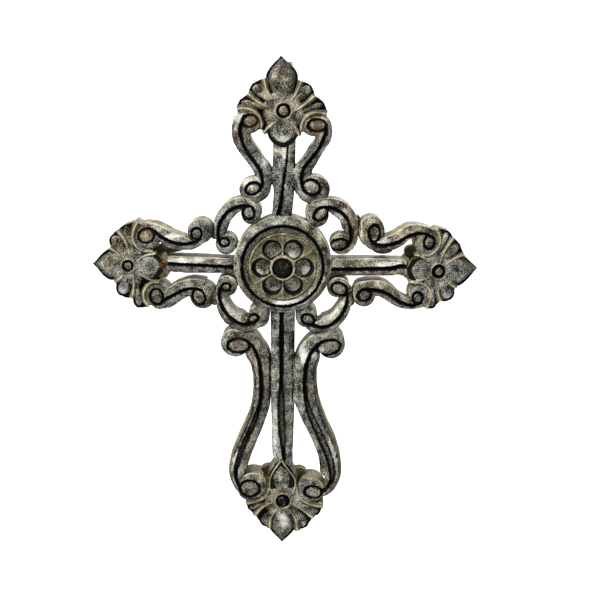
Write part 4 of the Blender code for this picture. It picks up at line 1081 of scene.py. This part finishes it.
def painted_wood():
    """Black under brushed silver, cream rubbed over the edges, painted highlights in cream along edges that
    face up and in pale patches that are partly wear, painted shade in black along edges that face down and
    in a darker speckle on the boss's dish, and bare olive sides.
    """
    graph = Graph("painted_wood")
    ragged = graph.math("SUBTRACT", graph.noise(900, 4, 0.65), 0.5)
    broad = graph.noise(160, 3, 0.6)
    fine = graph.noise(1500, 3, 0.7)
    drift = graph.noise(22, 2, 0.5)

    def patch(name, wander, low=-0.12, high=0.18):
        """How much of a paint lies here, with a ragged border."""
        depth = graph.math("MULTIPLY_ADD", ragged, wander, graph.attribute(name))
        return graph.steps(depth, low, high)

    speckle = graph.math("ADD", graph.math("MULTIPLY", fine, 0.62), graph.math("MULTIPLY", broad, 0.38))
    cool = graph.ramp(speckle, (0.42, 7, 7, 6), (0.47, 56, 57, 52), (0.52, 110, 110, 102),
                      (0.58, 154, 154, 145), (0.68, 222, 222, 214))
    warm = graph.ramp(speckle, (0.42, 9, 8, 5), (0.47, 58, 54, 44), (0.52, 112, 105, 90),
                      (0.58, 156, 148, 130), (0.68, 220, 214, 198))
    silver = graph.over(graph.steps(drift, 0.42, 0.58), cool, warm)
    # the pale colour of the pale patches: painted highlights, and partly worn paint
    worn = graph.ramp(speckle, (0.38, 104, 103, 92), (0.5, 180, 179, 167), (0.6, 228, 228, 220))
    cream = graph.ramp(broad, (0.3, 118, 110, 82), (0.5, 162, 154, 124), (0.7, 200, 193, 164))
    olive = graph.ramp(speckle, (0.4, 40, 36, 24), (0.5, 88, 82, 60), (0.65, 134, 127, 100))
    # a darker speckle, used by the dim paint: on the boss's dish it is painted shade
    rough = graph.ramp(fine, (0.40, 8, 8, 6), (0.5, 58, 56, 48), (0.62, 142, 139, 126))
    stain = patch("stain", 5.0, -0.2, 1.4)
    black = graph.ramp(fine, (0.50, 3, 3, 3), (0.72, 24, 23, 19))
    black = graph.over(graph.math("MULTIPLY", stain, 0.8), black, shade(88, 50, 20))
    colour = graph.over(graph.math("MULTIPLY", patch("pale", 2.4, -0.2, 0.7), 0.85), silver, worn)
    colour = graph.over(graph.math("MULTIPLY", stain, 0.3), colour, shade(104, 76, 46))
    colour = graph.over(patch("dim", 1.6), colour, rough)
    colour = graph.over(patch("olive", 1.4), colour, olive)
    colour = graph.over(patch("cream", 1.3), colour, cream)
    blackened = patch("black", 2.1)
    colour = graph.over(blackened, colour, black)
    streaks = graph.noise(260, 4, 0.6, (1.0, 0.25, 1.0))
    grain = graph.math("MULTIPLY_ADD", fine, 0.45, graph.math("MULTIPLY", streaks, 0.55))
    wall = graph.ramp(grain, (0.36, 40, 36, 24), (0.46, 88, 81, 56), (0.55, 124, 116, 86),
                      (0.66, 162, 154, 124))
    side = graph.steps(graph.math("MULTIPLY_ADD", ragged, 0.8, graph.attribute("side")), 0.25, 0.75)
    side = graph.math("MAXIMUM", side, patch("wall", 1.4))
    colour = graph.over(side, colour, wall)
    gloss = graph.math("MULTIPLY_ADD", blackened, 0.3, graph.steps(fine, 0.3, 0.7, 0.42, 0.62))
    graph.set(graph.shader, Base_Color=colour, Roughness=gloss)
    height = graph.math("ADD", graph.math("MULTIPLY", fine, 0.5), graph.math("MULTIPLY", ragged, 0.8))
    bump = graph.output("ShaderNodeBump", "Normal", Strength=BUMP_STRENGTH, Distance=BUMP_HEIGHT,
                        Height=height)
    graph.set(graph.shader, Normal=bump)
    graph.shader.inputs["Specular IOR Level"].default_value = PAINT_SHINE
    return graph.material


def tin():
    graph = Graph("tin")
    scratches = graph.noise(700, 4, 0.6, (1.0, 1.0, 0.1))
    colour = graph.ramp(scratches, (0.35, 120, 118, 110), (0.6, 206, 205, 198))
    graph.set(graph.shader, Base_Color=colour, Roughness=graph.steps(scratches, 0.3, 0.7, 0.28, 0.5))
    graph.shader.inputs["Metallic"].default_value = 0.9
    return graph.material


def studio_shell():
    """A floor that curves up into a wall, in one pale sheet."""
    profile = [(-FLOOR_REACH, FLOOR_LEVEL)]
    for step in range(SHELL_STEPS + 1):
        angle = math.pi / 2 * step / SHELL_STEPS
        profile.append((WALL_DISTANCE - SHELL_BEND + SHELL_BEND * math.sin(angle),
                        FLOOR_LEVEL + SHELL_BEND * (1 - math.cos(angle))))
    profile.append((WALL_DISTANCE, FLOOR_REACH))
    bm = bmesh.new()
    rows = [[bm.verts.new((x, y, z)) for y, z in profile] for x in (-FLOOR_REACH, FLOOR_REACH)]
    for index in range(len(profile) - 1):
        bm.faces.new((rows[0][index], rows[1][index], rows[1][index + 1], rows[0][index + 1]))
    shell = finished("studio_shell", bm)
    smooth(shell.data)
    graph = Graph("pale_paper")
    graph.set(graph.shader, Base_Color=(0.86, 0.86, 0.855, 1.0), Roughness=0.9)
    graph.shader.inputs["Emission Color"].default_value = (1.0, 1.0, 1.0, 1.0)
    graph.shader.inputs["Emission Strength"].default_value = SHELL_GLOW
    dress(shell, graph.material)
    shell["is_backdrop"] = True


def lamp(name, place, size, power):
    """A square soft light, aimed at the cross."""
    light = bpy.data.lights.new(name, "AREA")
    light.size = size
    light.energy = power
    made = add_object(name, light)
    made.location = place
    made.rotation_euler = (Vector(LAMP_TARGET) - Vector(place)).to_track_quat("-Z", "Y").to_euler()


def studio():
    """Soft light all round, stronger from the upper left and from above."""
    world = bpy.data.worlds.new("studio")
    world.use_nodes = True
    background = world.node_tree.nodes["Background"]
    background.inputs["Color"].default_value = (1.0, 1.0, 1.0, 1.0)
    background.inputs["Strength"].default_value = WORLD_LIGHT
    bpy.context.scene.world = world
    studio_shell()
    for row in LAMPS:
        lamp(*row)


def camera():
    """The view of the picture: from in front, a little above, looking down."""
    data = bpy.data.cameras.new("camera")
    data.lens = CAMERA_LENS
    data.sensor_width = 36
    made = add_object("camera", data)
    made.location = CAMERA_PLACE
    made.rotation_euler = (math.radians(90 - CAMERA_PITCH), 0, 0)
    bpy.context.scene.camera = made


def report_size(box):
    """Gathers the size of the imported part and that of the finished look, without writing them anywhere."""
    rows = {"cad_low": list(box[0]), "cad_high": list(box[1])}
    low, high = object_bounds()
    rows["look_low"], rows["look_high"] = list(low), list(high)


def main():
    board = board_mesh("cross_board", carve())
    cut_back(board)
    smooth(board.data)
    board.data.set_sharp_from_angle(angle=math.radians(SHARP_ANGLE))
    dress(board, painted_wood())
    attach(board, "root")
    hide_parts("cross")
    dress(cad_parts["hanger_strip"], tin())
    studio()
    camera()
    bpy.context.scene.view_settings.view_transform = "Standard"
    report_size(cad_box)


main()
